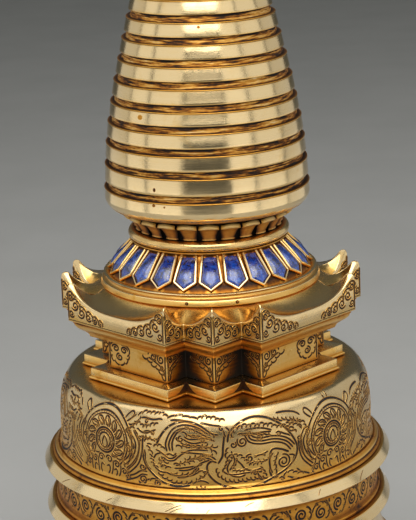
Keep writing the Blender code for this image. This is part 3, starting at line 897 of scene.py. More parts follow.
def medallion():
    """A wheel with a jewel at its hub, dotted rings, a fringe of leaves, and ribbons at both sides."""
    centre = (0.0, MEDALLION_HEIGHT)
    bold = [arc(*centre, 17.0, -36, 216), arc(*centre, 6.2, 0, 360)]
    plain = [arc(*centre, 14.3, -52, 232), arc(*centre, 3.7, 0, 360), curve(*JEWEL),
             paddle(17.6, 90, 3.2, 1.5), paddle(17.6, 44, 5.4, 1.3), paddle(17.6, 136, 5.4, 1.3)]
    thin = [arc(*centre, 12.9, -52, 232), arc(*centre, 5.1, 0, 360)]
    thin += [polar(*centre, np.array([13.3, 13.9]), angle) for angle in np.radians(np.arange(-48, 229, 7.0))]
    thin += [arc(*centre, 4.4, angle - 5, angle + 5) for angle in np.arange(0, 360, 24.0)]
    for angle in np.radians(np.arange(-40, 230, 27.0)):
        for strokes, petal in ((plain, ((7.1, 0.0), (9.6, 0.02), (11.6, 0.16), (12.2, 0.36))),
                               (plain, ((7.1, 0.10), (8.8, 0.26), (10.4, 0.38), (12.2, 0.36))),
                               (plain, ((7.2, -0.16), (8.6, -0.18), (9.8, -0.08), (9.2, 0.0))),
                               (thin, ((7.6, 0.06), (9.6, 0.13), (11.2, 0.26)))):
            strokes.append(curve(*[polar(*centre, reach, angle + twist) for reach, twist in petal]))
    side = band_of_lines([(12.8, 5.2), (17.2, 9.0), (20.4, 14.4), (20.8, 20.0), (17.8, 25.6)], 1.9, 3)
    side += [spiral(*curl) for curl in RIBBON_CURLS] + [curve(*points) for points in RIBBON_TAILS]
    side += flames([(16.0, 1.6), (12.4, 10.4), (4.6, 11.6)], 5, 1.7)
    return (bold, BOLD), (plain + side + mirrored(side), PLAIN), (thin, THIN)


# The strokes of one panel of scrolls: two roundels of acanthus on an S-shaped stem

PANEL_STEMS = (             # bold lines of the two roundels and of the stem that joins them
    ((-29.8, 20.8), (-28.2, 24.4), (-25.6, 28.2), (-22.0, 31.0), (-17.0, 32.4), (-12.0, 32.0), (-7.0, 30.2),
     (-2.6, 27.2), (1.0, 26.4)),
    ((-36.8, 25.0), (-37.2, 18.0), (-36.0, 11.0), (-32.4, 6.2), (-27.0, 2.4), (-20.4, 0.9), (-13.4, 1.5)),
    ((-0.4, 12.8), (-2.8, 13.6), (-5.0, 11.4), (-4.4, 7.0), (-0.6, 2.8), (5.6, 0.2), (13.0, -0.9),
     (21.0, 0.6), (28.2, 3.2), (34.4, 6.0), (39.0, 10.4), (40.2, 16.0), (37.6, 22.0), (33.0, 27.6),
     (26.0, 32.0), (18.0, 33.2), (10.6, 31.0), (6.2, 27.2), (5.0, 22.6)),
    ((3.6, 26.0), (2.8, 20.0), (2.4, 16.0), (0.2, 12.2)),
    ((29.6, 3.0), (26.8, 2.6), (25.4, 5.4), (25.4, 9.0), (25.2, 12.8), (26.8, 16.8), (31.0, 16.4),
     (35.6, 14.2)))
PANEL_SHEATHS = (           # curve, gap and number of parallel lines
    (((-24.4, 18.0), (-25.0, 22.0), (-23.0, 27.0), (-20.2, 29.8), (-15.6, 31.0), (-9.6, 30.0),
      (-4.0, 27.0)), -1.6, 2),
    (((-21.6, 18.4), (-21.6, 23.0), (-19.4, 27.2), (-16.4, 29.2)), 1.2, 1),
    (((-27.6, 17.4), (-25.4, 16.2), (-23.0, 17.0), (-21.0, 16.2), (-19.8, 17.6)), 1.2, 1),
    (((-26.6, 15.2), (-24.0, 13.6), (-21.0, 13.8), (-18.8, 15.6)), 1.2, 2),
    (((-0.6, 14.2), (-3.0, 16.0), (-6.4, 16.6), (-9.4, 14.6)), 1.3, 2),
    (((-3.4, 14.4), (-8.4, 12.4), (-11.6, 8.4), (-15.2, 5.6), (-19.8, 5.0)), 1.2, 1),
    (((13.4, 25.6), (15.6, 22.0), (21.0, 20.4), (28.0, 20.4), (33.4, 18.6), (36.8, 15.0)), 1.5, 3),
    (((17.8, 14.8), (21.6, 15.2), (24.8, 16.4)), 1.0, 1),
    (((-35.0, 6.8), (-38.6, 6.6), (-42.0, 4.4), (-47.4, 2.4)), 1.8, 2),
    (((-38.6, 21.6), (-39.4, 15.6), (-41.6, 10.4), (-47.0, 5.2)), 1.7, 2),
    (((41.0, 20.0), (41.4, 14.0), (43.4, 8.6), (48.6, 3.4)), 1.7, 2),
    (((39.6, 4.8), (42.2, 2.6), (46.6, 0.8)), 1.6, 1),
    (((35.6, 12.8), (38.4, 11.8), (37.2, 8.8), (34.8, 5.6)), 1.0, 1))
PANEL_FLAMES = (            # curve, number of teeth, their size and side
    (((-1.5, 25.0), (-5.0, 26.8), (-10.0, 27.6), (-15.5, 28.4)), 6, 1.5, -1),
    (((0.4, 21.4), (-4.0, 22.6), (-9.0, 22.2), (-14.4, 22.4), (-18.4, 25.8)), 8, 1.6, 1),
    (((-2.6, 23.4), (-7.0, 25.0), (-12.0, 24.6), (-17.0, 26.4)), 6, 1.4, -1),
    (((-0.6, 17.0), (-6.0, 19.2), (-12.0, 20.0), (-19.4, 19.6)), 8, 1.5, -1),
    (((-2.4, 17.6), (-8.0, 17.2), (-13.0, 16.6), (-17.0, 14.4), (-20.4, 12.4)), 7, 1.6, 1),
    (((-6.0, 13.8), (-10.4, 13.2), (-15.0, 11.4), (-20.6, 10.4)), 6, 1.6, -1),
    (((-9.4, 10.6), (-13.0, 8.8), (-17.4, 7.8), (-22.4, 8.2)), 5, 1.5, 1),
    (((-5.0, 9.6), (-8.6, 6.6), (-12.0, 4.4), (-17.0, 3.6), (-23.0, 4.4), (-28.4, 7.6)), 11, 1.5, 1),
    (((-23.6, 12.6), (-27.4, 15.4), (-29.4, 12.6), (-27.6, 9.6), (-23.0, 9.0)), 7, 1.5, 1),
    (((-35.2, 19.6), (-33.6, 16.0), (-33.2, 12.0), (-30.6, 8.2)), 6, 1.6, 1),
    (((-31.0, 19.6), (-28.4, 20.0), (-26.2, 18.6)), 3, 1.3, 1),
    (((-40.6, 33.0), (-37.0, 34.4), (-32.0, 34.2), (-28.6, 34.6), (-25.2, 33.4)), 7, 1.2, 1),
    (((-24.6, 33.2), (-19.6, 34.2), (-14.0, 33.8), (-9.6, 32.8)), 4, 0.9, 1),
    (((-9.2, 33.2), (-5.0, 33.4), (-1.0, 32.8), (3.6, 31.6)), 6, 1.4, 1),
    (((-45.4, 29.4), (-42.4, 30.8), (-40.4, 33.4)), 2, 1.3, -1),
    (((-42.4, 27.6), (-39.6, 29.4), (-36.4, 28.0), (-33.2, 29.0), (-29.2, 30.0)), 7, 1.4, 1),
    (((-37.6, 24.8), (-34.0, 25.4), (-31.4, 23.8), (-29.4, 25.6)), 4, 1.3, -1),
    (((-35.8, 21.6), (-33.4, 22.8), (-31.0, 21.8)), 3, 1.2, 1),
    (((-46.4, 24.6), (-43.6, 27.0), (-41.4, 25.0), (-40.4, 21.4)), 4, 1.4, 1),
    (((-36.0, 1.2), (-32.0, 2.4), (-28.4, 1.4)), 3, 1.2, 1),
    (((-12.4, 0.4), (-8.4, 1.6), (-4.2, 0.6)), 4, 1.5, -1),
    (((-9.6, 7.6), (-7.2, 7.8), (-5.2, 6.4)), 2, 1.3, 1),
    (((4.0, 29.4), (5.4, 27.4), (5.8, 24.8)), 2, 1.2, 1),
    (((8.2, 24.8), (9.4, 27.8), (14.0, 28.6), (19.0, 28.4), (24.0, 28.2), (29.4, 26.8)), 11, 1.7, 1),
    (((30.0, 26.6), (33.0, 26.2), (36.6, 24.8), (39.4, 22.4)), 5, 1.6, 1),
    (((12.0, 26.6), (16.4, 26.6), (22.0, 26.2), (28.4, 24.6)), 6, 1.2, -1),
    (((5.8, 19.8), (5.2, 16.6), (6.2, 13.6), (4.6, 10.4), (3.8, 7.8)), 6, 1.4, -1),
    (((0.2, 10.0), (1.6, 6.8), (4.4, 4.8), (9.0, 4.0), (14.0, 4.4), (19.0, 4.6), (23.8, 4.2)), 13, 1.6, -1),
    (((8.8, 14.6), (6.8, 11.4), (6.4, 8.6), (9.6, 6.8), (14.4, 7.4)), 8, 1.3, 1),
    (((7.4, 15.8), (10.4, 14.6), (13.2, 12.4), (14.8, 10.2), (19.0, 9.8), (23.2, 10.4)), 9, 1.5, 1),
    (((17.4, 12.4), (20.4, 13.4), (23.8, 12.6), (24.8, 15.8)), 4, 1.3, -1),
    (((20.2, 8.8), (21.0, 6.4), (22.8, 3.6)), 3, 1.3, 1),
    (((28.0, 4.0), (27.2, 8.0), (27.2, 12.2), (29.0, 15.2)), 5, 1.2, -1),
    (((29.2, 32.2), (33.0, 31.6), (37.0, 31.0), (41.0, 30.2), (43.8, 28.4)), 7, 1.5, -1),
    (((35.0, 28.0), (37.4, 26.2), (40.2, 26.2), (42.4, 24.2)), 4, 1.4, 1),
    (((41.4, 27.4), (44.0, 26.6), (45.2, 24.0)), 3, 1.3, 1),
    (((32.6, 1.6), (34.6, 3.2), (38.2, 2.4), (42.4, 0.6)), 4, 1.3, 1),
    (((-44.2, 12.4), (-42.6, 15.8), (-43.4, 19.6)), 3, 1.2, -1))
PANEL_CURLS = (             # centre, radius, start angle and turns of each spiral
    (32.6, 9.8, 3.8, 100, -1.9), (12.2, 22.4, 2.7, 140, 1.6), (7.8, 21.2, 1.7, 60, -1.3),
    (20.6, 23.6, 2.1, 120, -1.5), (30.6, 23.8, 1.5, 160, -1.2), (15.4, 13.8, 2.2, 60, 1.5),
    (6.8, 15.4, 1.5, 200, -1.2), (17.8, 6.2, 1.8, 200, -1.3), (-37.4, 2.6, 2.5, 200, 1.6),
    (-37.4, 8.8, 2.0, 30, -1.4), (-29.4, 1.4, 1.7, 150, 1.3), (-38.8, 22.6, 1.6, 40, 1.3),
    (-44.6, 25.6, 1.8, 60, 1.3), (-45.0, 16.6, 1.9, 100, -1.4), (-7.0, 24.0, 1.6, 180, -1.3),
    (-17.4, 24.4, 1.6, 80, 1.2), (46.6, 22.4, 2.1, 160, -1.4), (41.6, 20.2, 1.5, 60, -1.2),
    (47.6, 16.4, 2.2, 100, 1.4), (31.4, 0.9, 1.5, 160, -1.2), (-31.6, 26.6, 1.2, 90, 1.1),
    (-35.4, 31.4, 1.2, 30, 1.2), (2.4, 29.2, 1.2, 90, 1.1), (38.6, 28.6, 1.1, 200, 1.1))


def scroll_panel():
    """Two leafy roundels between two medallions: their stems with curls, and their leaves."""
    stems = [curve(*points) for points in PANEL_STEMS]
    lines = [line for sheath in PANEL_SHEATHS for line in band_of_lines(*sheath)]
    lines += [spiral(*curl) for curl in PANEL_CURLS]
    leaves = [stroke for leaf in PANEL_FLAMES for stroke in flames(*leaf, ribs=True)]
    return ((stems, BOLD), (lines, PLAIN)), ((leaves, PLAIN),)


def engrave_drum():
    """Four medallions at the long sides of the box above, and four panels of scrolls between them."""
    foot, reach = span("body_drum")[1], drum_wall()
    wheels, stems, leaves = [], [], []
    for k, (across, up) in enumerate(MEDALLION_SHIFTS):
        place = turned_place(drum_profile(), foot + up, reach, QUARTER * (k + 0.5) + across / reach)
        wheels += [(strokes, place, width) for strokes, width in medallion()]
        place = turned_place(drum_profile(), foot, reach, QUARTER * k)
        for drawing, collected in zip(scroll_panel(), (stems, leaves)):
            for strokes, width in drawing:
                collected.append((mirrored(strokes) if k % 2 else strokes, place, width))
    engrave("engraved_medallions", wheels)
    engrave("engraved_scroll_stems", stems)
    engrave("engraved_scroll_leaves", leaves)


VINE_UNITS = 22
VINE_FOOT = 1.8


def vine_unit(length):
    """One wave of a vine: a bold spiral in a leaf above the stem, and one below it."""
    half = length / 2
    strokes = [curve((0, 7.4), (half * 0.25, 11.8), (half * 0.72, 12.8), (half, 7.4), (half * 1.28, 2.2),
                     (half * 1.75, 2.8), (length, 7.4))]
    for u, v, way in ((half * 0.5, 6.6, 1), (half * 1.5, 8.0, -1)):
        around = arc(u, v, 4.4, 30 * way + 180, 350 * way + 180)[::2]
        strokes += [spiral(u, v, 3.5, 90 * way, 1.8 * way), *flames(around[1:-1], 7, 1.5, -way)]
    strokes += flames([(0.6, 13.0), (half * 0.3, 14.4), (half * 0.8, 14.6)], 4, 1.5)
    strokes += flames([(half * 1.05, 1.6), (half * 1.5, 0.0), (half * 1.95, 1.6)], 4, 1.4, -1)
    strokes += flames([(half * 1.02, 10.6), (half * 1.2, 13.6), (half * 1.9, 14.4)], 5, 1.4)
    return strokes


def engrave_girdle():
    """A vine with bold spirals all round the band between the two polished rings."""
    radius, low, high = span("engraved_band")
    wall = radius - 1.5
    strokes = vine_unit(math.tau * wall / VINE_UNITS)
    face = [(wall, low, WARM), (wall, high, WARM)]
    drawings = [(strokes, turned_place(face, low + VINE_FOOT, wall, turn), BOLD)
                for turn in all_round(VINE_UNITS)]
    engrave("engraved_vine", drawings, WARM_GILT, "warm_gilt")


LONG_FASCIA_CURLS = (       # distance from the tip, height and radius of each curl, down from the tip
    (3.0, 11.4, 1.9), (5.9, 7.4, 2.6), (3.1, 3.0, 2.1), (10.4, 4.2, 2.7), (15.6, 3.0, 2.1), (20.2, 1.9, 1.5),
    (23.8, 1.2, 1.0))
SHORT_FASCIA_CURLS = ((2.7, 10.2, 1.7), (5.4, 6.2, 2.3), (2.9, 2.7, 1.9), (9.9, 3.7, 2.6), (14.6, 2.8, 2.0))
NOTCH_FASCIA_CURLS = ((2.3, 8.8, 1.5), (4.7, 5.2, 2.0), (2.6, 2.2, 1.6), (8.7, 3.0, 2.2))
LEAF_HEIGHT = 13.2
NECK_LEAF_WIDTH = 15.5      # on a long wall
HANGING_LEAF_STRETCH = 1.32


def tip_ornament(curls):
    """Curls that climb to a tip under a border of scallops, for a tip at u = 0."""
    strokes = [curve((0.95, 14.2), (0.95, 7.0), (0.95, 0.2))]
    for i, (u, v, radius) in enumerate(curls):
        strokes.append(spiral(u, v, radius, 200, 1.45) if i % 2 else spiral(u, v, radius, -20, -1.45))
        if i != 2:
            strokes.append(arc(u, v, radius + 1.05, 115 if i > 1 else 140, -30 if i else 0))
            strokes.append(arc(u + radius * 0.75, v + radius * 0.9, 0.75, 210, -60))
    return strokes


def neck_leaf(width):
    """A leaf with scrolls that fills the upper corner of a wall and narrows towards its foot."""
    tall = LEAF_HEIGHT
    strokes = flames([(1.2, 0.8), (width * 0.2, tall * 0.42), (width * 0.55, tall * 0.62),
                      (width, tall * 0.9)], 6, width * 0.12, -1)
    for u, v, radius, start, turns in ((0.26, 0.82, 0.17, 90, -1.5), (0.6, 0.86, 0.14, 90, 1.4),
                                       (0.2, 0.5, 0.11, 180, 1.3)):
        strokes.append(spiral(width * u, tall * v, width * radius, start, turns))
    for u, v, radius, start, end in ((0.26, 0.82, 0.24, -30, 190), (0.62, 0.84, 0.21, 170, 10)):
        strokes.append(arc(width * u, tall * v, width * radius, start, end))
    strokes.append(curve((1.0, tall), (1.0, tall * 0.5), (1.0, 0.4)))
    strokes.append(curve((1.6, tall * 0.2), (width * 0.16, tall * 0.42), (width * 0.36, tall * 0.6),
                         (width * 0.8, tall * 0.8)))
    return strokes


def hanging_leaf():
    """The leaf at the far end of a long neck wall: an oval of curls under the moulding."""
    strokes = [spiral(4.2, 10.4, 2.1, 180, -1.5), spiral(8.8, 10.2, 2.0, 0, 1.5),
               spiral(6.2, 6.2, 2.0, 90, 1.5), arc(4.2, 10.4, 3.1, 60, 230), arc(8.8, 10.2, 3.0, 120, -60),
               curve((0.9, LEAF_HEIGHT), (0.9, 7.0), (0.9, 0.4))]
    strokes += flames([(1.4, 8.8), (3.4, 4.6), (6.0, 3.0)], 3, 1.2, -1)
    strokes += flames([(11.0, 8.6), (9.0, 4.8), (6.4, 3.0)], 3, 1.2)
    return [stroke * (HANGING_LEAF_STRETCH, 1.0) for stroke in strokes]


def engrave_harmika():
    """The eaves and the neck: each drawing starts at a wall's outer corner, and long walls have two."""
    foot = span("eaves_roof")[1] + 1.3
    neck_foot = span("harmika_neck")[1] + 0.4
    fascia, neck = [], []
    for edge, (place_in_quarter, start, _, length) in enumerate(redented_edges(0.0)):
        if place_in_quarter == LONG_EDGE:
            curls = tip_ornament(LONG_FASCIA_CURLS)
            curls += mirrored(curls, length / 2)
            ends = [hanging_leaf(), neck_leaf(NECK_LEAF_WIDTH)]
            if abs(start[0]) < abs(start[1]):
                ends.reverse()
            leaves = ends[0] + mirrored(ends[1], length / 2 - NECK_INSET)
        else:
            curls = tip_ornament(SHORT_FASCIA_CURLS if place_in_quarter in (1, 2) else NOTCH_FASCIA_CURLS)
            leaves = neck_leaf(length * 0.74)
            if place_in_quarter in (1, 3):
                curls, leaves = mirrored(curls, length / 2), mirrored(leaves, length / 2)
        fascia.append((curls, wall_place(0.0, edge, foot), PLAIN))
        neck.append((leaves, wall_place(NECK_INSET, edge, neck_foot), PLAIN))
    engrave("engraved_fascia", fascia)
    engrave("engraved_neck_leaves", neck, WARM_GILT, "warm_gilt")


# Small marks: painted shade in the plinth's concave corners, rivets, pits and hairlines

# Painted shade: outline of the dark patch in a concave corner of the plinth, as (u, v) on its wall
NOTCH_SHADE_PATCH = ((0.0, 5.0), (0.0, 0.05), (6.6, 0.05), (4.6, 0.9), (3.0, 2.1), (1.5, 3.7))
SHADE_PATCH_FOOT = 1.65          # above the plinth's foot
SHADE_PATCH_TONE = 0.8
RIVETS = ((-12.5, 218.5), (13.0, 218.5))        # compass angle in degrees and height, on the boss
RIVET_RINGS = ((0.85, -0.3, DARK), (0.85, 0.1, DARK), (0.55, 0.45, COPPERY), (0.2, 0.55, DEEP))
RIVET_REACH = 54.0
SPIRE_MARKS = (             # ring, compass angle in degrees, height, radius, stretch and tone
    (5, -41.5, 306.3, 1.2, 1.3, 0.3), (2, -30.0, 272.6, 1.0, 0.75, 0.62), (1, -30.5, 265.0, 0.7, 1.3, 0.5),
    (1, -24.0, 264.6, 0.5, 1.0, 0.45), (9, -2.0, 348.6, 0.7, 1.0, 0.4))
RING_HAIRLINES = (          # compass angle and height above the ring's foot at both ends of a hairline
    (-17.0, 1.2, -12.0, 4.3), (-15.5, 1.0, -11.8, 3.0), (-61.0, 1.4, -57.5, 4.2), (51.5, 1.2, 55.5, 4.4),
    (33.0, 2.0, 34.5, 4.4), (-38.0, 1.6, -36.0, 3.2), (8.0, 3.0, 11.0, 4.4), (-4.0, 1.0, -3.0, 2.6))


def plinth_corner_shade():
    """Painted shade: dark patches with three corners at the foot of each concave corner of the plinth."""
    foot = span("harmika_plinth")[1] + SHADE_PATCH_FOOT
    patch = np.array(NOTCH_SHADE_PATCH)
    parts = []
    for edge, (place_in_quarter, *_, length) in enumerate(redented_edges(0.0)):
        if place_in_quarter == LONG_EDGE:
            continue
        outline = patch if place_in_quarter in (1, 3) else (patch * (-1, 1) + (length, 0))[::-1]
        place = wall_place(PLINTH_INSET, edge, foot)
        parts.append(loft_part([(place(*outline.T, lift), SHADE_PATCH_TONE) for lift in (-0.3, 0.2)]))
    add_piece("plinth_corner_painted_shade", parts, BOX_GILT, "warm_gilt")


def small_marks():
    parts = []
    for angle, height in RIVETS:
        place = turned_place(boss_profile(), height, RIVET_REACH, math.radians(angle))
        parts.append(mark_part(place, 1.0, *RIVET_RINGS))
    for number, angle, height, radius, stretch, tone in SPIRE_MARKS:
        place = turned_place(band_profile(number), height, LIP_RADII[number - 1], math.radians(angle))
        parts.append(mark_part(place, stretch, (radius, -0.2, tone), (radius, 0.03, tone),
                               (radius * 0.6, 0.05, tone + 0.1)))
    add_piece("rivets_and_pits", parts, WARM_GILT, "warm_gilt")
    radius, low = span("upper_band_ring")[:2]
    hairlines = []
    for start, foot, end, head in RING_HAIRLINES:
        ends = np.array([(math.radians(start) * radius, foot), (math.radians(end) * radius, head)])
        hairlines.append(curve(ends[0], ends.mean(axis=0) + (0.0, 0.3), ends[1]))
    engrave("ring_hairlines", [(hairlines, turned_place(ring_profile("upper_band_ring"), low, radius), HAIR)])


# Collar of lapis petals in gilt rims

COLLAR_PETALS = 24
COLLAR_CURVE = (            # share of the way from the petal tips up, radius and height
    (0.0, 51.5, 223.2), (0.25, 48.3, 226.7), (0.5, 45.1, 230.4), (0.75, 41.8, 234.0), (1.0, 38.4, 237.5))
COLLAR_BLEND = 0.04         # share of the way over which the curve's slope is averaged, up and down
PETAL_SHOULDER = 0.25       # where along a petal, from its tip, it is widest
PETAL_HALF_WIDTH = 6.0      # at the shoulder, with the rim
PETAL_TOP_HALF_WIDTH = 4.3
RIM_WIDTH = 1.35
RIM_RISE = 0.85
RIM_TIP = 0.066             # where the inside of a rim comes to its point
RIM_SECTION = (             # across a rim: share of its width, height and tone
    (0.0, -1.0, DARK), (0.0, 0.1, WARM), (0.1, 0.6, SOFT), (0.3, RIM_RISE, POLISHED),
    (0.72, RIM_RISE, POLISHED), (0.92, 0.6, SOFT), (1.0, 0.1, DEEP), (1.0, -1.0, DARK))
STONE_SEAT = 0.25           # how far a stone's edge lies below the collar's curve
STONE_COLUMNS = 11
STONE_ROWS = 18
STONE_RIDGE = (             # share of the way up the collar, and height of the stone's ridge above its seat
    (0.076, 0.3), (0.12, 0.85), (0.2, 1.4), (0.32, 1.85), (0.42, 1.95), (0.56, 1.65), (0.72, 1.1),
    (0.86, 0.6), (0.96, 0.25))
BED_STEPS = 8               # points of the bed for each petal
BED_FOOT = (                # radius, height above the foot and tone
    (52.4, 0.0, WARM), (53.6, 0.1, 0.2), (53.8, 0.35, POLISHED), (53.2, 0.9, POLISHED), (52.7, 1.0, 0.26))
BED_FACETS = (              # way up, lift, depth of the valley, tone between two petals and under one; the dark tones are painted shade below the rims
    (0.0, -1.3, 0.0, 0.46, 0.2), (0.05, -1.05, 0.0, 0.66, 0.34), (0.1, -0.8, 0.2, 0.76, 0.6),
    (0.17, -0.55, 0.5, DARK, DARK), (PETAL_SHOULDER, -0.45, 0.6, COPPERY, DARK), (0.5, -0.3, 0.6, 0.5, DARK),
    (0.86, -0.35, 0.5, DEEP, DARK), (0.95, -0.35, 0.5, WARM, 0.74), (1.0, -0.3, 0.3, WARM, 0.7))
# Painted shade: the bed's top, under the torus, is dark.
BED_TOP = ((39.2, -0.95, WARM), (39.7, -0.5, SOFT), (39.3, -0.15, WARM), (36.0, -0.1, DARK))
TORUS_SINK = 0.9            # how far the torus settles into its seat
TORUS_SWELL = 0.5
TORUS_STEPS = 16


def collar_level(along, lift):
    """The radius and height of points along the collar's curve and above it."""
    shares, radii, heights = np.array(COLLAR_CURVE).T
    near, far = np.maximum(along - COLLAR_BLEND, 0.0), np.minimum(along + COLLAR_BLEND, 1.0)
    run = np.interp(far, shares, radii) - np.interp(near, shares, radii)
    rise = np.interp(far, shares, heights) - np.interp(near, shares, heights)
    steep = np.hypot(run, rise)
    return (np.interp(along, shares, radii) + rise / steep * lift,
            np.interp(along, shares, heights) - run / steep * lift)


def petal_points(petal, across, along, lift):
    """Points of one petal of the collar: across it, along it from the tip up, and above its curve."""
    radius, height = collar_level(along, lift)
    plan = rotated(np.column_stack([across, -radius]), math.tau * petal / COLLAR_PETALS)
    return np.column_stack([plan, height])


def petal_half_width(along, margin=0.0):
    """Half the width of a hexagonal petal: a point at its tip, widest at the shoulder."""
    to_shoulder = PETAL_HALF_WIDTH * along / PETAL_SHOULDER - margin * 1.4
    share = (along - PETAL_SHOULDER) / (1 - PETAL_SHOULDER)
    above = PETAL_HALF_WIDTH + (PETAL_TOP_HALF_WIDTH - PETAL_HALF_WIDTH) * share - margin
    return np.where(along < PETAL_SHOULDER, np.maximum(0.0, to_shoulder), above)


def rim_outline(margin, tip):
    """One edge of a rim as (across, along), from the top of one side round the tip to the other."""
    along = np.array([0.14, PETAL_SHOULDER - 0.015, *np.linspace(PETAL_SHOULDER + 0.02, 1.0, 6)])
    side = np.column_stack([petal_half_width(along, margin), along])
    return np.vstack([side[::-1] * (-1, 1), [(0.0, tip)], side])


def rim_part(petal):
    """A raised rim with a rounded top round one petal, open under the torus."""
    outer, inner = rim_outline(0.0, 0.0), rim_outline(RIM_WIDTH, RIM_TIP)
    points, faces, wear_and_shade = sheet_part([
        (petal_points(petal, *(outer + (inner - outer) * share).T, np.full(len(outer), lift)), tone)
        for share, lift, tone in RIM_SECTION], closed_rows=True)
    grid = np.arange(len(points)).reshape(len(RIM_SECTION), -1)
    return points, faces + [grid[:, 0].tolist(), grid[::-1, -1].tolist()], wear_and_shade


def stone_part(petal):
    """A domed hexagonal stone, closed underneath."""
    shares, ridges = np.array(STONE_RIDGE).T
    across = np.linspace(-1.0, 1.0, STONE_COLUMNS)
    rows = []
    for way in np.linspace(0.0, 1.0, STONE_ROWS) ** 1.2:
        along = shares[0] + (shares[-1] - shares[0]) * way
        dome = np.interp(along, shares, ridges) * np.sqrt(1 - across ** 2 * 0.94)
        half_width = petal_half_width(along, RIM_WIDTH * 1.08)
        rows.append((petal_points(petal, across * half_width, along, dome - STONE_SEAT), POLISHED))
    points, faces, wear_and_shade = sheet_part(rows)
    grid = np.arange(len(points)).reshape(STONE_ROWS, STONE_COLUMNS)
    edge = np.concatenate([grid[0], grid[1:, -1], grid[-1, -2::-1], grid[-2:0:-1, 0]])
    return points, faces + [edge[::-1].tolist()], wear_and_shade


def collar_bed_part():
    """The gilt bed under the rims: an edge ring, facets between the tips and a valley between petals, painted
    dark as shade below the rims and under the torus.
    """
    low, high = span("collar_frame")[1], span("collar_torus")[1] - TORUS_SINK
    turns = np.arange(COLLAR_PETALS * BED_STEPS) / BED_STEPS
    angles = turns * math.tau / COLLAR_PETALS
    off_middle = np.abs(turns % 1.0 - 0.5)
    rows = [(about_axis(radius, low + up, angles), tone) for radius, up, tone in BED_FOOT]
    for along, lift, valley, middle_tone, petal_tone in BED_FACETS:
        radius, height = collar_level(along, lift - valley * (1 - 2.0 * off_middle) ** 0.8)
        tone = np.where(off_middle < 0.26, middle_tone, petal_tone)
        rows.append((about_axis(radius, height, angles), tone))
    rows += [(about_axis(radius, high + up, angles), tone) for radius, up, tone in BED_TOP]
    return loft_part(rows)


def torus_profile():
    radius, low, high = span("collar_torus")
    half = (high - low) / 2
    low, middle, high = low - TORUS_SINK, low - TORUS_SINK + half, high - TORUS_SINK
    ring = radius + TORUS_SWELL - half
    # Painted shade: dark under the torus.
    profile = [(ring - half * 0.6, low, DARK), (ring, low, DEEP)]
    for tilt in math.pi * np.arange(1, TORUS_STEPS) / TORUS_STEPS - QUARTER:
        tone = SOFT if abs(tilt) < 1.0 else WARM
        profile.append((ring + half * math.cos(tilt), middle + half * math.sin(tilt), tone))
    bed = span("spire_lotus")[1] - 0.3
    # Painted shade: dark on the bed under the cups.
    profile += [(ring, high, WARM), (ring - 1.2, high - 0.4, DEEP), (34.6, bed, DARK), (30.0, bed, DARK)]
    return profile


def collar():
    petals = range(COLLAR_PETALS)
    add_piece("gilt_petal_rims", [collar_bed_part(), *map(rim_part, petals)], RIM_GILT, "pale_gilt",
              "collar_frame", smooth_angle=38.0)
    add_piece("lapis_stones", list(map(stone_part, petals)), LAPIS, "lapis_inlay", "lapis_petals",
              smooth_angle=60.0)
    turned("polished_torus", "collar_torus", torus_profile(), GILT, "warm_gilt")


# Spire

LIP_RADII = (51.3, 50.5, 49.5, 48.1, 46.3, 44.2, 41.8, 39.3, 36.7, 34.0, 31.2, 28.3, 25.3)
RINGS = len(LIP_RADII)
GROOVE_DEPTH = 2.3
BAND_LIP = 0.4              # how far a lip stands out from its band
LIP_HEIGHT = 0.8
BAND_SWELL = 0.07           # bulge of a band at half its height
BAND_STEPS = 7
CORE_TOP_RADIUS = 19.0
CUP_COLUMNS = 9
CUP_DIP = 0.9               # how much lower a cup's rim is at its sides than in its middle


def ring_span(number):
    """The radius of a ring's upper lip, and the ring's lowest and highest level."""
    return LIP_RADII[number - 1], *span(f"spire_ring_{number:02d}")[1:]


def lip_slope(number):
    """How much a ring's radius shrinks with height, from its neighbours' lips."""
    below, above = ring_span(max(1, number - 1)), ring_span(min(RINGS, number + 1))
    return (below[0] - above[0]) / (above[2] - below[2])


def band_profile(number):
    """One band: a slightly swollen conical face under a thin rounded lip, its underside painted dark as
    shade. The lowest rounds under.
    """
    radius, low, high = ring_span(number)
    slope = lip_slope(number)
    face = radius - BAND_LIP
    face_top = high - LIP_HEIGHT
    lip = [(face - 0.12, face_top + 0.05, DEEP), (radius - 0.1, face_top + 0.25, 0.42, 0.1),
           (radius, face_top + 0.5, WARM, 0.18), (radius - 0.3, high, 0.42, 0.22), (radius - 1.0, high, DEEP)]
    if number == 1:
        inner = span("spire_lotus")[0] - 9.0
        # Painted shade: the underside is dark.
        return [(inner, low, DARK), (radius - 6.2, low, DARK), (radius - 3.0, low + 0.9, DEEP, 0.9),
                (radius - 1.0, low + 2.9, POLISHED, 1.6), (face + 0.4, low + 5.2, POLISHED, 1.0),
                (face, face_top, POLISHED), *lip, (inner, high, DARK)]
    inner = radius - GROOVE_DEPTH - 1.2
    foot = face + slope * (face_top - low)
    # Painted shade: the underside is black.
    profile = [(inner, low, BLACK), (foot - 0.5, low, BLACK), (foot - 0.1, low + 0.08, DEEP)]
    for share in np.linspace(0.0, 1.0, BAND_STEPS):
        height = low + 0.25 + (face_top - low - 0.25) * share
        swell = BAND_SWELL * 4 * share * (1 - share)
        profile.append((face + slope * (face_top - height) + swell, height, POLISHED if share else SOFT))
    return [*profile, *lip, (inner, high, DARK)]


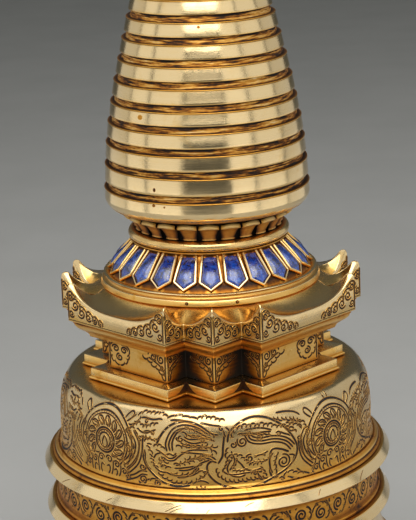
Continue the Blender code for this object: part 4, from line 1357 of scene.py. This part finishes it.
def core_profile():
    """The streaky groove floors between the bands, darker between the lowest ones, with painted shadow at the
    top of each under the band above.
    """
    low, top = span("spire_core")[1:]
    foot_radius = span("spire_lotus")[0] - 14.0
    profile = [(foot_radius, low, DARK), (foot_radius, ring_span(1)[1], DARK)]
    for number in range(1, RINGS + 1):
        radius, lip = ring_span(number)[::2]
        floor, slope = radius - GROOVE_DEPTH, lip_slope(number)
        groove = (ring_span(number + 1)[1] if number < RINGS else top - 0.8) - lip
        darker = 0.03 * max(0, 5 - number)
        # Painted shadow: the top of each groove floor, under the band above, is set black.
        profile += [(floor + 0.1, lip + 0.05, COPPERY), (floor, lip + 0.5, 0.48 + darker),
                    (floor - slope * groove * 0.62, lip + groove * 0.62, 0.54 + darker),
                    (floor - slope * groove, lip + groove - 0.15, BLACK)]
    return [*profile, (CORE_TOP_RADIUS, top - 0.4, DEEP), (CORE_TOP_RADIUS, top, DARK)]


def cup_part(angle, half_angle, path, crown, tones):
    """A narrow-footed, flaring petal with a rolled rim: path is (radius, height, width share)."""
    across = np.linspace(-1.0, 1.0, CUP_COLUMNS)
    foot, rim = path[0][1], path[-1][1]
    rows = []
    for (radius, height, share), tone in zip(path, tones):
        bulge = crown * share * np.sqrt(1 - across ** 2)
        dip = CUP_DIP * across ** 2 * (height - foot) / (rim - foot)
        turns = angle + across * half_angle * share
        # Painted shade: each cup is darker towards its sides.
        rows.append((about_axis(radius + bulge, height - dip, turns), tone + 0.35 * across ** 4))
    return sheet_part(rows)


def cup_lotus(name, node, petals, path, bed, crown, finish, foot_spot=False):
    """A ring of cup-shaped petals on a bed painted dark as shade, each cup pale and polished at its rim,
    standing in for the rim's highlight, and darker towards its sides as painted shade; each has a bright spot
    at its foot if asked.
    """
    # Darker at the foot, pale and polished at the rim, the rim's pale tone standing in for its highlight.
    tones = np.interp(np.linspace(0, 1, len(path)), [0, 0.15, 0.6, 0.7, 1.0], [0.5, 0.28, 0.3, -0.06, -0.06])
    if foot_spot:
        tones[:3] = (WARM, POLISHED, WARM)
    half_angle = 0.47 * math.tau / petals
    cups = [cup_part(angle, half_angle, path, crown, tones) for angle in all_round(petals)]
    add_piece(name, [revolve_part(bed), *cups], finish, "warm_gilt", node, smooth_angle=50.0)


def spire():
    path = profile_of("spire_lotus", [
        (34.8, 0.1, 0.7), (36.1, 0.7, 0.8), (36.0, 1.6, 0.74), (36.5, 2.8, 0.78), (37.4, 4.6, 0.86),
        (38.4, 6.1, 0.92), (39.4, 6.9, 0.97), (40.9, 7.35, 0.98), (41.6, 7.8, 0.97), (41.7, 8.6, 0.96),
        (40.9, 9.6, 0.94)], edge=0.0)
    # The bed is painted dark as shade in the gaps between the cups.
    bed = profile_of("spire_lotus", [
        (29.5, 0.0, DARK), (33.8, 0.0, DARK), (34.2, 2.0, DARK), (35.8, 6.0, DARK)],
        [(37.6, -1.6, DARK), (37.8, -0.6, DARK), (29.5, -0.5, DARK)], 0.0)
    cup_lotus("spire_lotus_cups", "spire_lotus", 24, path, bed, 1.5, CUP_GILT, foot_spot=True)
    turned("streaked_spire_core", "spire_core", core_profile(), STREAKED, "warm_gilt")
    for number in range(1, RINGS + 1):
        turned(f"gilt_band_{number:02d}", f"spire_ring_{number:02d}", band_profile(number), GILT, "pale_gilt",
               closed=True)


# Crown, above the photograph's edge

def crown_lotus():
    path = profile_of("crown_lotus", [
        (-9.2, 0.1, 0.66), (-8.0, 0.8, 0.74), (-6.0, 2.0, 0.84), (-3.6, 3.6, 0.94)],
        [(-1.9, -0.8, 1.0), (-2.3, -0.1, 0.97)])
    bed = profile_of("crown_lotus", [(-12.0, 0.0, DARK), (-10.0, 0.0, DARK), (-8.0, 2.0, DARK)],
                     [(-4.5, -0.2, DARK), (-12.0, -0.1, DARK)])
    cup_lotus("crown_lotus_cups", "crown_lotus", 12, path, bed, 1.6, WARM_GILT)


def parasol():
    """A ribbed canopy with a rolled edge: sixteen raised ribs from the edge to the top."""
    radius, low, high = span("parasol")
    ribs, shoulder = 16, low + 3.2
    angles = all_round(FINE)
    rib = np.abs(np.cos(angles * ribs / 2)) ** 6
    edge = profile_of("parasol", [(-4.0, 0.0, DEEP), (-1.0, 0.0, WARM), (0.0, 0.6, POLISHED),
                                  (-0.1, 2.2, POLISHED), (-0.9, 2.7, SOFT), (-1.6, 2.4, DARK)])
    rows = [(about_axis(level_radius, height, angles), tone) for level_radius, height, tone in edge]
    levels = [(radius - 2.6, shoulder, 0.2)]
    for share in np.linspace(0.1, 1.0, 10):
        levels.append((4.0 + (radius - 7.0) * math.cos(share * QUARTER) ** 0.8,
                       shoulder + (high - shoulder) * math.sin(share * QUARTER), 0.55 * (1 - share) + 0.12))
    rows += [(about_axis(level_radius + rise * (rib - 0.4), height, angles), SOFT + 0.18 * (1 - rib))
             for level_radius, height, rise in levels]
    add_piece("ribbed_parasol", [loft_part(rows)], GILT, "pale_gilt", "parasol", smooth_angle=45.0)


def bevelled_plate(outline, depth, bevel):
    """An upright plate with bevels, from an (x, z) outline whose second half runs back along the first."""
    count = len(outline)
    edge = np.roll(outline, -1, 0) - np.roll(outline, 1, 0)
    outward = np.column_stack([edge[:, 1], -edge[:, 0]]) / np.linalg.norm(edge, axis=1)[:, None]
    half = [(bevel, depth, SOFT), (bevel * 0.3, depth - bevel * 0.3, POLISHED), (0.0, depth - bevel, SOFT)]
    rows = []
    for inset, y, tone in half + [(inset, -y, tone) for inset, y, tone in reversed(half)]:
        x, z = (outline - outward * inset).T
        rows.append((np.column_stack([x, np.full(count, y), z]), tone))
    points, faces, wear_and_shade = sheet_part(rows, closed_columns=True)
    front = len(points) - count
    for i in range(count // 2 - 1):
        strip = (i, i + 1, count - 2 - i, count - 1 - i)
        faces += [strip[::-1], tuple(front + corner for corner in strip)]
    return points, faces, wear_and_shade + SOFT


def crescent_moon():
    """A flat crescent that stands on the parasol with its horns up."""
    radius, low = span("crescent_moon")[:2]
    inner_radius, waist = radius * 0.8, radius * 0.533
    outer_turns, inner_turns = [np.radians(np.linspace(-reach, reach, 40)) - QUARTER for reach in (122, 112)]
    outline = np.vstack([polar(0.0, low + radius, radius, outer_turns),
                         polar(0.0, low + waist + inner_radius, inner_radius, inner_turns[::-1])])
    plate = bevelled_plate(outline, half_depth("crescent_moon"), 0.5)
    add_piece("crescent_moon_plate", [plate], WARM_GILT, "warm_gilt", "crescent_moon")


def sun_disc():
    """A domed disc with a groove and a rim, the same on both sides."""
    radius, low, high = span("sun_disc")
    depth = half_depth("sun_disc")
    back = [(0.4, -depth, POLISHED), (radius * 0.52, 0.45 - depth, POLISHED, 0.6),
            (radius * 0.62, 0.9 - depth, DARK, 0.2), (radius * 0.74, 0.25 - depth, SOFT, 0.4),
            (radius - 0.4, 0.9 - depth, SOFT, 0.5)]
    front = [(out, -level, *rest) for out, level, *rest in reversed(back)]
    points, faces, wear_and_shade = revolve_part([*back, (radius, 0.0, SOFT, 0.6), *front], 96)
    x, y, z = points.T
    upright = np.column_stack([x, -z, y + (low + high) / 2])
    add_piece("sun_disc_plate", [(upright, faces, wear_and_shade)], GILT, "pale_gilt", "sun_disc")


JEWEL_LEVELS = (            # share of the height, share of the radius and tone
    (0.0, 0.42, DARK), (0.03, 0.62, WARM), (0.07, 0.66, POLISHED), (0.11, 0.5, DARK), (0.16, 0.72, SOFT),
    (0.24, 0.92, SOFT), (0.33, 0.985, POLISHED), (0.44, 0.93, POLISHED), (0.56, 0.72, SOFT),
    (0.68, 0.47, SOFT), (0.80, 0.27, SOFT), (0.92, 0.14, POLISHED), (1.0, 0.05, POLISHED))


def jewel_finial():
    """A flame-shaped jewel on a small seat, with eight soft lobes that twist up to its point."""
    radius, low, high = span("jewel_finial")
    angles = all_round(96)
    rows = []
    for share, width, tone in JEWEL_LEVELS:
        lobes = np.abs(np.cos(angles * 4 + share * 2.4)) * 0.09 * (0.14 < share < 0.9)
        height = low + (high - low) * share
        rows.append((about_axis(radius * width * (1 - lobes), height, angles), tone + 3.0 * lobes))
    add_piece("flaming_jewel", [loft_part(rows)], WARM_GILT, "warm_gilt", "jewel_finial", smooth_angle=50.0)


lotus_base()
body()
engrave_girdle()
engrave_drum()
harmika()
engrave_harmika()
plinth_corner_shade()
collar()
spire()
small_marks()
crown_lotus()
parasol()
crescent_moon()
sun_disc()
jewel_finial()
